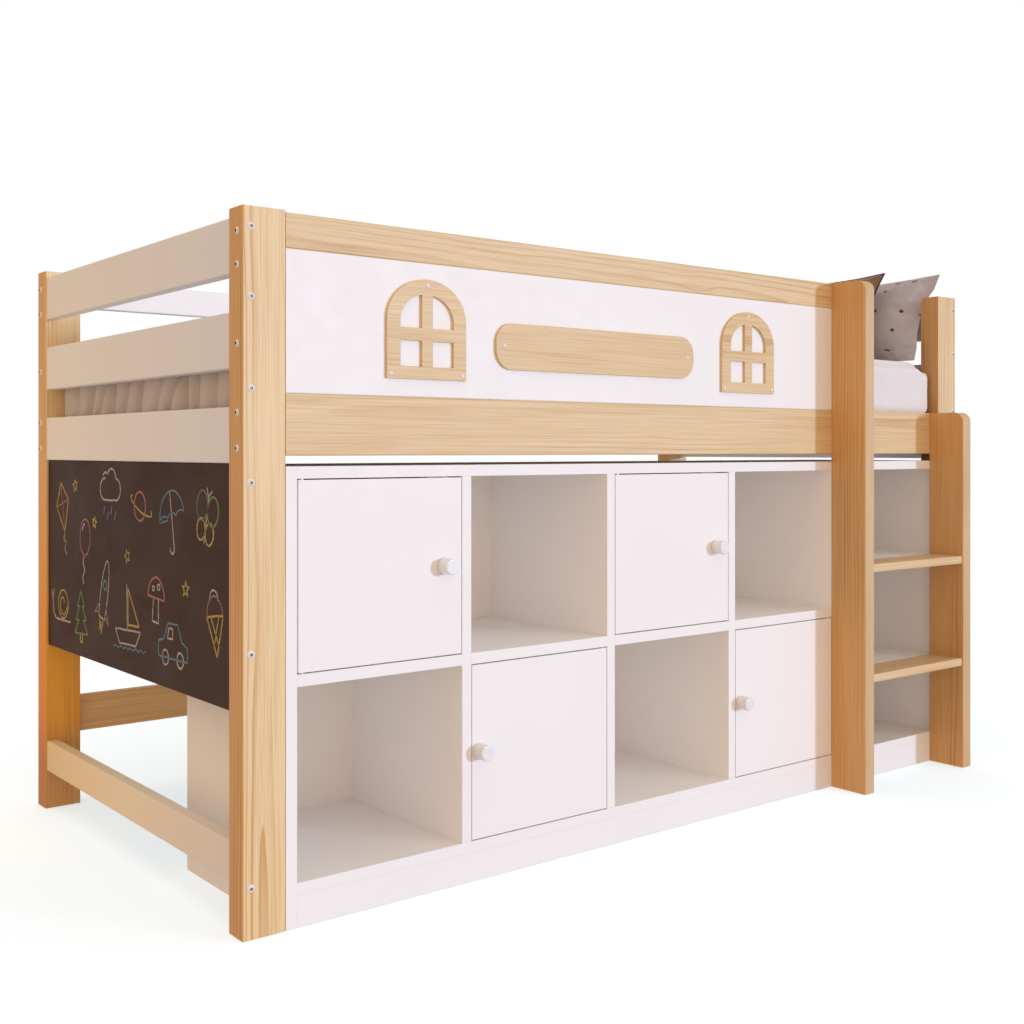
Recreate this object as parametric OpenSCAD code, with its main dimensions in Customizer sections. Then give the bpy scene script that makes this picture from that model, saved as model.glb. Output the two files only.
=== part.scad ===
// Cabin bed with storage: a half-height single bed on four posts, a cupboard with
// cube bays and doors under it, a two-tread ladder, and its mattress and cushions.
// Millimetres. +X along the bed, +Y to the back, +Z up. Inside the modules the corner
// under the front left post is zero; placed() moves the origin to the middle of the base.

/* [Mattress] */
// Length of the mattress that the bed is built round
mattress_l = 1900; // [1800:5:2100]
// Width of the mattress
mattress_w = 900; // [800:5:1100]
// Thickness of the mattress
mattress_t = 180; // [120:5:190]
// Radius on the edges of the mattress
mattress_round = 24; // [15:1:40]
// Gap between the mattress and an end rail
mattress_end_gap = 4.5; // [2:0.5:15]
// Gap between the mattress and the front boards
mattress_gap = 2.5; // [1:0.5:6]
// Gap between the mattress and the rear posts
mattress_rear_gap = 3.5; // [2:0.5:15]

/* [Bed posts] */
// Width of a post along the bed
post_w = 75; // [60:1:90]
// Depth of a post across the bed
post_d = 50; // [45:1:70]
// Radius on the long edges of posts and pine boards
wood_round = 2.5; // [1:0.5:5]

/* [Long boards] */
// Thickness of the front and rear boards
rail_t = 26; // [24:1:34]
// Height of the side rails that carry the slats
side_rail_h = 100; // [95:1:120]
// Height of the side rails above the floor
side_rail_z = 758; // [690:1:850]
// Height of the white panel between the side rail and the top rail
panel_h = 232; // [215:1:300]
// Height of the front top rail
top_rail_h = 57; // [50:1:80]
// Drop from the top of the posts to the top rail
top_rail_drop = 3; // [0:0.5:12]
// Height of the rear guard rail
guard_h = 59; // [50:1:80]
// Drop from the top of the posts to the rear guard rail
guard_drop = 12; // [0:1:30]
// Height of the rear stretcher
rear_stretcher_h = 77; // [60:1:100]
// Height of the rear stretcher above the floor
rear_stretcher_z = 151; // [100:1:200]

/* [End boards] */
// Thickness of the rails and stretchers at the ends
end_rail_t = 24; // [20:1:30]
// Height of one end rail
end_rail_h = 90; // [80:1:95]
// Drop from the side rails' lower edge to the lowest end rail's
end_rail_drop = 12; // [4:1:20]
// Drop from the top of the posts to the highest end rail
end_rail_top_drop = 13; // [5:1:25]
// Setback of the end rails from the post's outer face
end_rail_set = 3; // [1:0.5:10]
// Height of an end stretcher
stretcher_h = 64; // [50:1:90]
// Height of the end stretchers above the floor
stretcher_z = 81; // [60:1:120]
// Thickness of the chalkboard
chalk_t = 12; // [9:0.5:18]
// Height of the chalkboard under the lowest end rail
chalk_h = 396; // [300:1:450]
// Setback of the chalkboard from the post's outer face
chalk_set = 6; // [3:0.5:12]

/* [Ladder] */
// Thickness of a ladder stile
stile_t = 34; // [28:1:40]
// Depth of a ladder stile
stile_d = 92; // [80:1:110]
// Radius of the front top corner of a stile
stile_corner = 25; // [10:1:40]
// Radius on the front edges of a stile
stile_round = 3; // [1:0.5:6]
// Gap between the right stile and the right post
ladder_gap = 3.5; // [2:0.5:10]
// Overlap of the left stile past the cupboard's fourth bay
stile_lap = 1.5; // [0:0.5:3]
// Thickness of a tread
tread_t = 18.5; // [16:0.5:24]
// Setback of a tread from the front of the stiles
tread_set = 3.3; // [1:0.1:10]
// Height of the lower tread's top above the floor
tread_z = 264; // [240:1:280]
// Rise from one tread to the next
tread_rise = 247; // [230:1:260]
// Number of treads
treads = 2; // [1:1:2]

/* [Cupboard] */
// Slot between the cupboard and the side rail
cab_slot = 17; // [10:1:40]
// Depth of the cupboard with its back
cab_d = 377; // [330:1:450]
// Thickness of the cupboard's boards
cab_t = 20; // [18:1:22]
// Thickness of the cupboard's back
back_t = 6; // [4:0.5:10]
// Height of the plinth
plinth_h = 52; // [40:1:70]
// Clear width of one cube bay
bay_w = 327.5; // [300:0.5:335]
// Number of cube bays beside the ladder bay
bays = 4; // [4:1:4]

/* [Doors] */
// Thickness of a door
door_t = 16; // [15:0.5:19]
// Gap round a door
door_gap = 2; // [2:0.1:3]
// Hinge axis in from the door's edge
pivot_in = 8; // [7:0.5:12]
// Hinge axis behind the door's front
pivot_back = 5; // [4.5:0.5:6]
// Diameter of a pivot pin
pin_d = 5; // [4:0.5:6]
// Depth that a pin reaches into the door and into the board
pin_bite = 10; // [8:0.5:12]
// Radial running clearance round a pivot pin
pin_clear = 0.06; // [0.02:0.01:0.1]
// Diameter of the collar that carries the door
collar_d = 9; // [7:0.5:9]
// Running clearance at the collar
collar_clear = 0.2; // [0.1:0.1:0.4]
// Diameter of a knob
knob_d = 29; // [24:1:34]
// Length of a knob
knob_l = 26; // [20:1:32]
// Knob in from the free edge of a door hinged on the left
knob_in_left = 36.5; // [22:0.5:60]
// Knob in from the free edge of a door hinged on the right
knob_in_right = 16; // [15.5:0.5:60]
// Knob above the middle of the door
knob_up = 1; // [0:0.5:20]

/* [Front trim] */
// Thickness of the ply trim on the front panel
trim_t = 5.5; // [4:0.5:9]
// Width of a window
window_w = 165; // [140:1:180]
// Height of a window
window_h = 172; // [150:1:180]
// Height of a window's arch
window_arch = 72; // [60:1:80]
// Width of a window's border at its sides
window_side = 27; // [20:0.5:30]
// Height of a window's border at its foot
window_foot = 21.4; // [16:0.1:26]
// Width of a window's upright bar
window_bar = 22.4; // [16:0.1:28]
// Height of a window's crossbar
window_cross = 22; // [16:0.5:28]
// Height of a window's lower panes
window_pane = 44.6; // [35:0.1:50]
// Gap from a window's foot to the panel's foot
window_up = 31; // [20:1:40]
// Middle of the left window from the left post
window_x1 = 269.8; // [200:0.1:320]
// Middle of the right window from the left post
window_x2 = 1099.2; // [1050:0.1:1250]
// Width of the plaque
plaque_w = 510; // [400:1:540]
// Height of the plaque
plaque_h = 84.5; // [70:0.5:100]
// Corner radius of the plaque
plaque_round = 36; // [20:1:40]
// Gap from the plaque's foot to the panel's foot
plaque_up = 55; // [40:1:75]
// Middle of the plaque from the left post
plaque_x = 675; // [640:1:720]

/* [Slats and fastenings] */
// Side of a slat ledger's square section
ledger = 30; // [24:1:36]
// Height of a ledger above its rail's lower edge
ledger_up = 4; // [2:1:10]
// Thickness of a slat
slat_t = 18; // [15:1:20]
// Width of a slat
slat_w = 70; // [60:1:90]
// Number of slats
slats_n = 14; // [10:1:16]
// Gap between a slat's end and the side rail
slat_end = 2; // [1:0.5:6]
// Diameter of a bolt's shank
bolt_d = 6; // [5:0.5:7]
// Diameter of a bolt's domed head
bolt_head_d = 13; // [10:0.5:14]
// Height of a bolt's domed head
bolt_head_h = 3; // [2:0.5:4]
// Width across the flats of a bolt's socket
bolt_socket = 5; // [3:0.5:5]
// Depth of a bolt that runs on into a board, past the post
bolt_bite = 45; // [35:1:60]
// Depth of a bolt that ends inside the post
bolt_short = 40; // [30:1:44]
// Radial clearance of bolts, screws and nuts in their bores
bore_clear = 0.1; // [0.05:0.05:0.3]
// Bolts of the long boards in front of the board's back
bolt_cover = 6; // [5:0.5:10]
// Bolts of the end boards behind the end rails' outer face
bolt_in = 10.5; // [8:0.5:12]
// Side rail bolts in from the rail's lower edge
bolt_low = 12; // [10:1:25]
// Side rail bolts in from the rail's upper edge
bolt_high = 32; // [15:1:40]
// Panel bolts in from the panel's lower edge
panel_bolt_low = 77; // [20:1:90]
// Panel bolts in from the panel's upper edge
panel_bolt_high = 31; // [20:1:90]
// Top rail bolt down from the rail's upper edge
top_bolt = 35; // [15:1:40]
// Guard rail bolt down from the rail's upper edge
guard_bolt = 26; // [15:1:40]
// End bolts down from the upper edge of the highest end rail
end_bolt = 19; // [12:1:45]
// Second end bolts under the highest end rail's upper edge
end_bolt_second = 129; // [120:1:140]
// Third end bolts above the lowest end rail's lower edge
end_bolt_third = 118; // [100:1:130]
// Chalkboard bolts in from its upper edge
chalk_bolt_high = 30; // [15:1:60]
// Chalkboard bolts in from its lower edge
chalk_bolt_low = 97; // [15:1:120]
// Diameter of a barrel nut
nut_d = 10; // [8:0.5:12]
// Length of a barrel nut
nut_l = 12; // [10:0.5:14]

/* [Pillow and cushion] */
// Clearance between soft things and what they lie against
soft_gap = 0.3; // [0.2:0.1:1]
// Lean of the pillow and the cushion from upright
lean = 26.7; // [15:0.1:35]
// Width of the pillow
pillow_w = 460; // [350:5:500]
// Height of the pillow along its slope
pillow_h = 251; // [220:1:300]
// Rise of the pillow's crown in front of its seam
pillow_front = 62; // [40:1:80]
// Rise of the pillow's crown behind its seam
pillow_rear = 13; // [8:1:20]
// Width of the cushion
cushion_w = 350; // [280:5:420]
// Height of the cushion along its slope
cushion_h = 252; // [220:1:300]
// Rise of the cushion's crown in front of its seam
cushion_front = 55; // [40:1:80]
// Rise of the cushion's crown behind its seam
cushion_rear = 38; // [25:1:50]
// Start of the cushion behind the pillow's near corner
cushion_in = 79; // [40:1:110]
// Share of a side that is drawn in between the corners
drawn_in = 0.08; // [0:0.01:0.15]

/* [Hidden] */

$fn = 48;
pine = "#E3BF8B";
pine_warm = "#C08A50";
white = "#F2EFF4";
slate = "#3C2821";
steel = "#B8BABD";
linen = "#F4F2F0";
greige = "#A8988F";
brown = "#8B6B50";
eps = 0.01;

// Lengths and levels of the bed frame, from the mattress out and from the side rails up
end_inner = end_rail_set + end_rail_t;
bed_l = mattress_l + 2 * (mattress_end_gap + end_inner);
bed_d = rail_t + mattress_gap + mattress_w + mattress_rear_gap + post_d;
inner_x = bed_l - post_w;
side_rail_top = side_rail_z + side_rail_h;
top_rail_z = side_rail_top + panel_h;
top_rail_top = top_rail_z + top_rail_h;
post_h = top_rail_top + top_rail_drop;
guard_z = post_h - guard_drop - guard_h;
end_rail_n = 3;
end_rail_z = side_rail_z - end_rail_drop;
end_rail_top = post_h - end_rail_top_drop;
end_rail_pitch = (end_rail_top - end_rail_h - end_rail_z) / (end_rail_n - 1);
chalk_z = end_rail_z - chalk_h;

// Cupboard: bay_x(i) is the left of bay i, and row 0 is the lower row
cab_h = side_rail_z - cab_slot;
cab_depth = cab_d - back_t;
cab_floor = plinth_h + cab_t;
cab_ceiling = cab_h - cab_t;
bay_h = (cab_ceiling - cab_floor - cab_t) / 2;
bay_pitch = bay_w + cab_t;
function bay_x(i) = post_w + cab_t + i * bay_pitch;
function bay_z(row) = cab_floor + row * (bay_h + cab_t);
ladder_bay_x = bay_x(bays);
ladder_bay_w = inner_x - cab_t - ladder_bay_x;

// Ladder
stile_x1 = bay_x(bays - 1) + bay_w - stile_lap;
stile_x2 = inner_x - ladder_gap - stile_t;
front_end = stile_x1 + stile_t;

// Doors stand like a chequer: in even bays above, hinged on the left, and in odd bays below
function is_upper(i) = i % 2 == 0;
function door_z(i) = bay_z(is_upper(i) ? 1 : 0) + door_gap;
door_w = bay_w - 2 * door_gap;
door_h = bay_h - 2 * door_gap;
pin_end = 0.5;
knob_round = 3;
knob_base = 1;
knob_base_d = 22;
knob_screw_d = 4;
knob_screw_bite = 12;
catch_w = 46;
catch_d = 14;
catch_h = 13;
catch_in = 40;
catch_gap = 0.3;

// Bolt heights, each with whether the bolt runs on into a board behind the post
bolt_y = rail_t - bolt_cover;
bolt_x = end_rail_set + bolt_in;
SIDE_RAIL_BOLTS = [side_rail_z + bolt_low, side_rail_top - bolt_high];
PANEL_BOLTS = [side_rail_top + panel_bolt_low, top_rail_z - panel_bolt_high];
TOP_RAIL_BOLTS = [top_rail_top - top_bolt];
GUARD_BOLTS = [guard_z + guard_h - guard_bolt];
function bolts(zs, long) = [for (z = zs) [z, long]];
FRONT_LEFT_SIDE = bolts(concat(SIDE_RAIL_BOLTS, PANEL_BOLTS, TOP_RAIL_BOLTS), true);
FRONT_RIGHT_SIDE = bolts(SIDE_RAIL_BOLTS, true);
REAR_RIGHT_SIDE = bolts(concat(SIDE_RAIL_BOLTS, GUARD_BOLTS), true);
REAR_LEFT_SIDE = concat(REAR_RIGHT_SIDE, bolts(PANEL_BOLTS, false));
top_end_bolt = end_rail_top - end_bolt;
RIGHT_END = concat(bolts([top_end_bolt], true), bolts([end_rail_top - end_bolt_second,
    end_rail_z + end_bolt_third, stretcher_z], false));
LEFT_END = concat(RIGHT_END,
    bolts([end_rail_z - chalk_bolt_high, chalk_z + chalk_bolt_low], false));
// Corners: right, rear, bolts in the side face, bolts in the front or rear face
CORNERS = [[false, false, FRONT_LEFT_SIDE, LEFT_END], [true, false, FRONT_RIGHT_SIDE, RIGHT_END],
    [false, true, REAR_LEFT_SIDE, LEFT_END], [true, true, REAR_RIGHT_SIDE, RIGHT_END]];
nut_end = 10;
nut_in = bolt_bite - nut_end;
nut_seat = 1;

// Trim and its screws
screw_head_d = 8.5;
screw_head_h = 2.2;
screw_d = 3.5;
trim_bite = 14;
window_screw = 8;
window_crown_screw = 10;
plaque_screw = 18;
window_z = side_rail_top + window_up;
plaque_z = side_rail_top + plaque_up;
WINDOW_SCREWS = [[window_screw - window_w / 2, window_screw],
    [window_w / 2 - window_screw, window_screw], [0, window_h - window_crown_screw]];
arch_steps = 40;
window_inner = window_w / 2 - window_side;
window_upper_z = window_foot + window_pane + window_cross;
window_spring = window_h - window_arch;
window_inner_arch = window_arch - window_side + 1;

// Ladder screws: from behind the board into the stile
ladder_screw_high = 25;
ladder_screw_low = 50;
ladder_screw_d = 5;
ladder_screw_bite = 40;
ladder_screw_head = 10;
ladder_screw_cone = 3;
LADDER_SCREWS = [[stile_x1 + stile_t / 2, side_rail_top - ladder_screw_high],
    [stile_x1 + stile_t / 2, top_rail_z + top_rail_h / 2],
    [stile_x2 + stile_t / 2, side_rail_top - ladder_screw_high],
    [stile_x2 + stile_t / 2, side_rail_z + ladder_screw_low]];

// Slats and soft things
ledger_z = side_rail_z + ledger_up;
slat_z = ledger_z + ledger;
slat_top = slat_z + slat_t;
slat_margin = 10;
slat_pitch = (inner_x - post_w - 2 * slat_margin - slat_w) / (slats_n - 1);
mattress_x = end_inner + mattress_end_gap;
mattress_y = rail_t + mattress_gap;
mattress_z = slat_top + soft_gap;
mattress_top = mattress_z + mattress_t;
// Crowns end at a right angle to the seam, so a leaning case's rear crown dips below its foot
crown_power = 0.5;
soft_cols = 24;
soft_rows = 16;
pillow_y = post_d + 1;
function soft_dip(h, rear) = pow(rear * sin(lean), 2) / (h * cos(lean));
pillow_z = mattress_top + soft_gap + soft_dip(pillow_h, pillow_rear);
pillow_touch = pillow_rear / cos(lean) + (end_rail_top - pillow_z) * tan(lean);
pillow_x = bed_l - end_inner - soft_gap - pillow_touch;
cushion_z = mattress_top + soft_gap + soft_dip(cushion_h, cushion_rear);
cushion_x = pillow_x - (pillow_front + cushion_rear + soft_gap) / cos(lean)
    + (cushion_z - pillow_z) * tan(lean);

// Origin: the middle of the base of the whole object, bolt heads and ladder included.
// The socket takes the crown off a bolt's dome, so the flats' rim is its highest point.
bolt_dome_r = (pow(bolt_head_d / 2, 2) + pow(bolt_head_h, 2)) / (2 * bolt_head_h);
bolt_proud = sqrt(pow(bolt_dome_r, 2) - pow(bolt_socket / 2, 2)) - bolt_dome_r + bolt_head_h;
base_x = bed_l / 2;
base_y = (bed_d + bolt_proud - stile_d) / 2;
module placed() translate([-base_x, -base_y, 0]) children();

// Places what is drawn for the front left corner at another corner of the bed
module corner(right, rear) {
    translate([right ? bed_l : 0, rear ? bed_d : 0, 0])
        mirror([right ? 1 : 0, 0, 0])
        mirror([0, rear ? 1 : 0, 0]) children();
}

// A rectangle with round corners, from zero to its size
module round_rect(size, r) {
    translate([r, 0]) square([size[0] - 2 * r, size[1]]);
    translate([0, r]) square([size[0], size[1] - 2 * r]);
    for (x = [r, size[0] - r], y = [r, size[1] - r]) translate([x, y]) circle(r, $fn = 24);
}

// A board along X, Y or Z with round long edges
module board_x(size) {
    translate([0, 0, size[2]]) rotate([0, 90, 0])
        linear_extrude(size[0]) round_rect([size[2], size[1]], wood_round);
}
module board_y(size) {
    translate([0, size[1], 0]) rotate([90, 0, 0])
        linear_extrude(size[1]) round_rect([size[0], size[2]], wood_round);
}
module board_z(size) linear_extrude(size[2]) round_rect([size[0], size[1]], wood_round);

// A domed bolt: its head stands out below zero and its shank runs up
module bolt(len) {
    difference() {
        union() {
            mirror([0, 0, 1]) rotate_extrude() intersection() {
                translate([0, bolt_head_h - bolt_dome_r]) circle(bolt_dome_r, $fn = 96);
                square([bolt_head_d / 2, bolt_head_h]);
            }
            translate([0, 0, -eps]) cylinder(d = bolt_d, h = len + eps);
        }
        translate([0, 0, -bolt_head_h - eps])
            cylinder(d = bolt_socket / cos(30), h = bolt_head_h * 0.7, $fn = 6);
    }
}
module bolt_bore(len) translate([0, 0, -eps]) cylinder(d = bolt_d + 2 * bore_clear, h = len + 1);

// Puts a bolt, or its bore, at every place of one corner
module at_side_bolts(bolts, long) {
    for (b = bolts) if (b[1] == long) translate([0, bolt_y, b[0]]) rotate([0, 90, 0]) children();
}
module at_end_bolts(bolts, long) {
    for (b = bolts) if (b[1] == long) translate([bolt_x, 0, b[0]]) rotate([-90, 0, 0]) children();
}

// Post of the corner that CORNERS lists at this place
module post(c) {
    corner(c[0], c[1]) color(pine) difference() {
        board_z([post_w, post_d, post_h]);
        at_side_bolts(c[2], true) bolt_bore(post_w);
        at_side_bolts(c[2], false) bolt_bore(bolt_short);
        at_end_bolts(c[3], true) bolt_bore(post_d);
        at_end_bolts(c[3], false) bolt_bore(bolt_short);
    }
}
module side_bolts() {
    color(white) for (c = CORNERS) corner(c[0], c[1]) {
        at_side_bolts(c[2], true) bolt(post_w + bolt_bite);
        at_side_bolts(c[2], false) bolt(bolt_short);
    }
}
module end_bolts() {
    color(white) for (c = CORNERS) corner(c[0], c[1]) {
        at_end_bolts(c[3], true) bolt(post_d + bolt_bite);
        at_end_bolts(c[3], false) bolt(bolt_short);
    }
}

// Bores of the bolts and barrel nuts in the left end of a front board
module board_bores(zs) {
    for (z = zs) {
        translate([post_w - 1, bolt_y, z]) rotate([0, 90, 0]) bolt_bore(bolt_bite + 1);
        translate([post_w + nut_in, rail_t + eps, z]) rotate([90, 0, 0])
            cylinder(d = nut_d + 2 * bore_clear, h = nut_l + nut_seat + eps);
    }
}
module barrel_nut(z) {
    translate([post_w + nut_in, rail_t - nut_seat, z]) difference() {
        rotate([90, 0, 0]) cylinder(d = nut_d, h = nut_l);
        translate([-nut_d, bolt_y - rail_t + nut_seat, 0]) rotate([0, 90, 0])
            cylinder(d = bolt_d + 2 * bore_clear, h = 2 * nut_d);
    }
}
module barrel_nuts() {
    color(steel) for (c = CORNERS) corner(c[0], c[1])
        for (b = c[2]) if (b[1]) barrel_nut(b[0]);
}

// A board along the bed, from the left post to x1, bolted at its left and maybe its right
module long_board(z, h, x1, bolts, both) {
    difference() {
        translate([post_w, 0, z]) board_x([x1 - post_w, rail_t, h]);
        board_bores(bolts);
        if (both) corner(true, false) board_bores(bolts);
    }
}
module ladder_screw_bores() {
    for (p = LADDER_SCREWS) translate([p[0], rail_t, p[1]]) rotate([90, 0, 0]) {
        translate([0, 0, -eps])
            cylinder(d = ladder_screw_d + 2 * bore_clear, h = rail_t + ladder_screw_bite + 1);
        translate([0, 0, -eps]) cylinder(d1 = ladder_screw_head + 2 * bore_clear,
            d2 = ladder_screw_d + 2 * bore_clear, h = ladder_screw_cone + eps);
    }
}
module front_side_rail() {
    color(pine) difference() {
        long_board(side_rail_z, side_rail_h, inner_x, SIDE_RAIL_BOLTS, true);
        ladder_screw_bores();
    }
}
module front_panel() {
    color(white) difference() {
        long_board(side_rail_top, top_rail_z - side_rail_top, front_end, PANEL_BOLTS, false);
        at_trim_screws() trim_screw_bore();
    }
}
module front_top_rail() {
    color(pine) difference() {
        long_board(top_rail_z, top_rail_h, front_end, TOP_RAIL_BOLTS, false);
        ladder_screw_bores();
    }
}
module rear_side_rail() {
    color(pine) corner(false, true)
        long_board(side_rail_z, side_rail_h, inner_x, SIDE_RAIL_BOLTS, true);
}
module rear_guard_rail() {
    color(white) corner(false, true) long_board(guard_z, guard_h, inner_x, GUARD_BOLTS, true);
}
module rear_stretcher() {
    color(pine_warm) corner(false, true)
        long_board(rear_stretcher_z, rear_stretcher_h, inner_x, [], false);
}

// End boards, between the front and the rear post
module end_board(x, t, z, h) {
    translate([x, post_d, z]) board_y([t, bed_d - 2 * post_d, h]);
}
module end_rails() {
    difference() {
        for (i = [0 : end_rail_n - 1])
            end_board(end_rail_set, end_rail_t, end_rail_z + i * end_rail_pitch, end_rail_h);
        for (rear = [false, true]) corner(false, rear)
            translate([bolt_x, post_d - 1, top_end_bolt]) rotate([-90, 0, 0])
            bolt_bore(bolt_bite + 1);
    }
}
module end_rails_left() color(white) end_rails();
module end_rails_right() color(white) corner(true, false) end_rails();
module stretcher_left() color(white) end_board(end_rail_set, end_rail_t, stretcher_z, stretcher_h);
module stretcher_right() {
    color(white) corner(true, false)
        end_board(end_rail_set, end_rail_t, stretcher_z, stretcher_h);
}
module chalkboard() color(slate) end_board(chalk_set, chalk_t, chalk_z, chalk_h);

// Outline of a round-headed opening: straight sides, then half an ellipse
function arch(half, spring, rise) = concat([[-half, 0], [half, 0]],
    [for (i = [0 : arch_steps]) let (a = 180 * i / arch_steps)
        [half * cos(a), spring + rise * sin(a)]]);

// Window in the XY plane, its foot on the X axis and its middle on the Y axis
module window_2d() {
    difference() {
        polygon(arch(window_w / 2, window_spring, window_arch));
        difference() {
            translate([0, window_foot])
                polygon(arch(window_inner, window_spring - window_foot, window_inner_arch));
            translate([-window_bar / 2, 0]) square([window_bar, window_h]);
            translate([-window_w / 2, window_foot + window_pane])
                square([window_w, window_cross]);
        }
    }
}

// Stands a flat trim shape on the face of the front panel
module on_panel(x, z) {
    translate([post_w + x, 0, z]) rotate([90, 0, 0]) children();
}
module window(x) {
    color(pine) difference() {
        on_panel(x, window_z) linear_extrude(trim_t) window_2d();
        at_trim_screws() trim_screw_bore();
    }
}
module window_left() window(window_x1);
module window_right() window(window_x2);
module plaque() {
    color(pine) difference() {
        on_panel(plaque_x - plaque_w / 2, plaque_z) linear_extrude(trim_t)
            round_rect([plaque_w, plaque_h], plaque_round);
        at_trim_screws() trim_screw_bore();
    }
}

// Places of the screws that hold the trim, head out and shank towards the bed
module at_trim_screws() {
    for (x = [window_x1, window_x2], p = WINDOW_SCREWS)
        on_panel(x + p[0], window_z + p[1]) translate([0, 0, trim_t]) children();
    for (s = [-1, 1])
        on_panel(plaque_x + s * (plaque_w / 2 - plaque_screw), plaque_z + plaque_h / 2)
            translate([0, 0, trim_t]) children();
}
module trim_screw_bore() {
    translate([0, 0, -trim_t - trim_bite - 1])
        cylinder(d = screw_d + 2 * bore_clear, h = trim_t + trim_bite + 2);
}
module dome_screw(d, head_d, head_h, len) {
    dome_r = (pow(head_d / 2, 2) + pow(head_h, 2)) / (2 * head_h);
    rotate_extrude() intersection() {
        translate([0, head_h - dome_r]) circle(dome_r, $fn = 96);
        square([head_d / 2, head_h]);
    }
    translate([0, 0, -len]) cylinder(d = d, h = len + eps);
}
module trim_screws() {
    color(white) at_trim_screws()
        dome_screw(screw_d, screw_head_d, screw_head_h, trim_t + trim_bite);
}

// Stile: the front top corner is round, and so are the front edges
module stile(x, h) {
    difference() {
        translate([x, 0, 0]) intersection() {
            rotate([90, 0, 90]) linear_extrude(stile_t) {
                translate([-stile_d, 0]) square([stile_d, h - stile_corner]);
                translate([stile_corner - stile_d, 0]) square([stile_d - stile_corner, h]);
                translate([stile_corner - stile_d, h - stile_corner]) circle(stile_corner);
            }
            linear_extrude(h) {
                translate([stile_round, -stile_d]) square([stile_t - 2 * stile_round, stile_d]);
                translate([0, stile_round - stile_d]) square([stile_t, stile_d - stile_round]);
                for (sx = [stile_round, stile_t - stile_round])
                    translate([sx, stile_round - stile_d]) circle(stile_round, $fn = 24);
            }
        }
        ladder_screw_bores();
    }
}
module stile_left() color(pine) stile(stile_x1, top_rail_top);
module stile_right() color(pine) stile(stile_x2, side_rail_top);
module ladder_treads() {
    color(pine) for (i = [0 : treads - 1])
        translate([front_end, tread_set - stile_d, tread_z + i * tread_rise - tread_t])
            board_x([stile_x2 - front_end, stile_d - tread_set, tread_t]);
}
module ladder_screws() {
    color(steel) for (p = LADDER_SCREWS) translate([p[0], rail_t, p[1]]) rotate([90, 0, 0]) {
        cylinder(d = ladder_screw_d, h = rail_t + ladder_screw_bite);
        cylinder(d1 = ladder_screw_head, d2 = ladder_screw_d, h = ladder_screw_cone);
    }
}

// Slats on a ledger along each side rail
module slat_ledgers() {
    color(pine) for (rear = [false, true]) corner(false, rear)
        translate([post_w, rail_t, ledger_z]) board_x([inner_x - post_w, ledger, ledger]);
}
module slats() {
    color(pine) for (i = [0 : slats_n - 1])
        translate([post_w + slat_margin + i * slat_pitch, rail_t + slat_end, slat_z])
            board_y([slat_w, bed_d - 2 * (rail_t + slat_end), slat_t]);
}

// A plain cupboard board from one corner to its size
module panel(at, size) translate(at) cube(size);
module cabinet_side_left() color(white) panel([post_w, 0, 0], [cab_t, cab_depth, cab_h]);
module cabinet_side_right() {
    color(white) panel([inner_x - cab_t, 0, 0], [cab_t, cab_depth, cab_h]);
}
module cross_board(z) {
    panel([post_w + cab_t, 0, z], [inner_x - post_w - 2 * cab_t, cab_depth, cab_t]);
}
module cabinet_top() {
    color(white) difference() {
        cross_board(cab_ceiling);
        for (i = [0 : bays - 1]) if (is_upper(i)) at_hinge(i, cab_ceiling) pin_bore();
    }
}
module cabinet_base() {
    color(white) difference() {
        cross_board(plinth_h);
        for (i = [0 : bays - 1]) if (!is_upper(i))
            at_hinge(i, cab_floor) mirror([0, 0, 1]) pin_bore();
    }
}
module cabinet_plinths() {
    color(white) for (y = [0, cab_depth - cab_t])
        panel([post_w + cab_t, y, 0], [inner_x - post_w - 2 * cab_t, cab_t, plinth_h]);
}
module cabinet_dividers() {
    color(white) for (i = [0 : bays - 1])
        panel([bay_x(i) + bay_w, 0, cab_floor], [cab_t, cab_depth, cab_ceiling - cab_floor]);
}
module cabinet_shelves() {
    color(white) difference() {
        for (i = [0 : bays - 1])
            panel([bay_x(i), 0, cab_floor + bay_h], [bay_w, cab_depth, cab_t]);
        for (i = [0 : bays - 1]) {
            if (is_upper(i)) at_hinge(i, bay_z(1)) mirror([0, 0, 1]) pin_bore();
            else at_hinge(i, cab_floor + bay_h) pin_bore();
        }
    }
}
module ladder_bay_shelves() {
    color(white) for (i = [0 : treads - 1])
        panel([ladder_bay_x, 0, tread_z + i * tread_rise - cab_t],
            [ladder_bay_w, cab_depth, cab_t]);
}
module cabinet_back() color(white) panel([post_w, cab_depth, 0], [inner_x - post_w, back_t, cab_h]);

// Left edge, hinge axis and knob of the door in bay i, and which way its free edge lies
function door_x(i) = bay_x(i) + door_gap;
function free_dir(i) = is_upper(i) ? 1 : -1;
function hinge_x(i) = door_x(i) + (is_upper(i) ? pivot_in : door_w - pivot_in);
function knob_x(i) = door_x(i) + (is_upper(i) ? door_w - knob_in_left : knob_in_right);
function knob_z(i) = door_z(i) + door_h / 2 + knob_up;
module at_hinge(i, z) translate([hinge_x(i), pivot_back, z]) children();
module pin_bore() {
    translate([0, 0, -eps]) cylinder(d = pin_d + 2 * pin_clear, h = pin_bite + pin_end + eps);
}
module door(i) {
    color(white) difference() {
        panel([door_x(i), 0, door_z(i)], [door_w, door_t, door_h]);
        at_hinge(i, door_z(i)) pin_bore();
        at_hinge(i, door_z(i) + door_h) mirror([0, 0, 1]) pin_bore();
        translate([knob_x(i), -1, knob_z(i)]) rotate([-90, 0, 0])
            cylinder(d = knob_screw_d + 2 * bore_clear, h = door_t + 2);
    }
}

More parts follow.
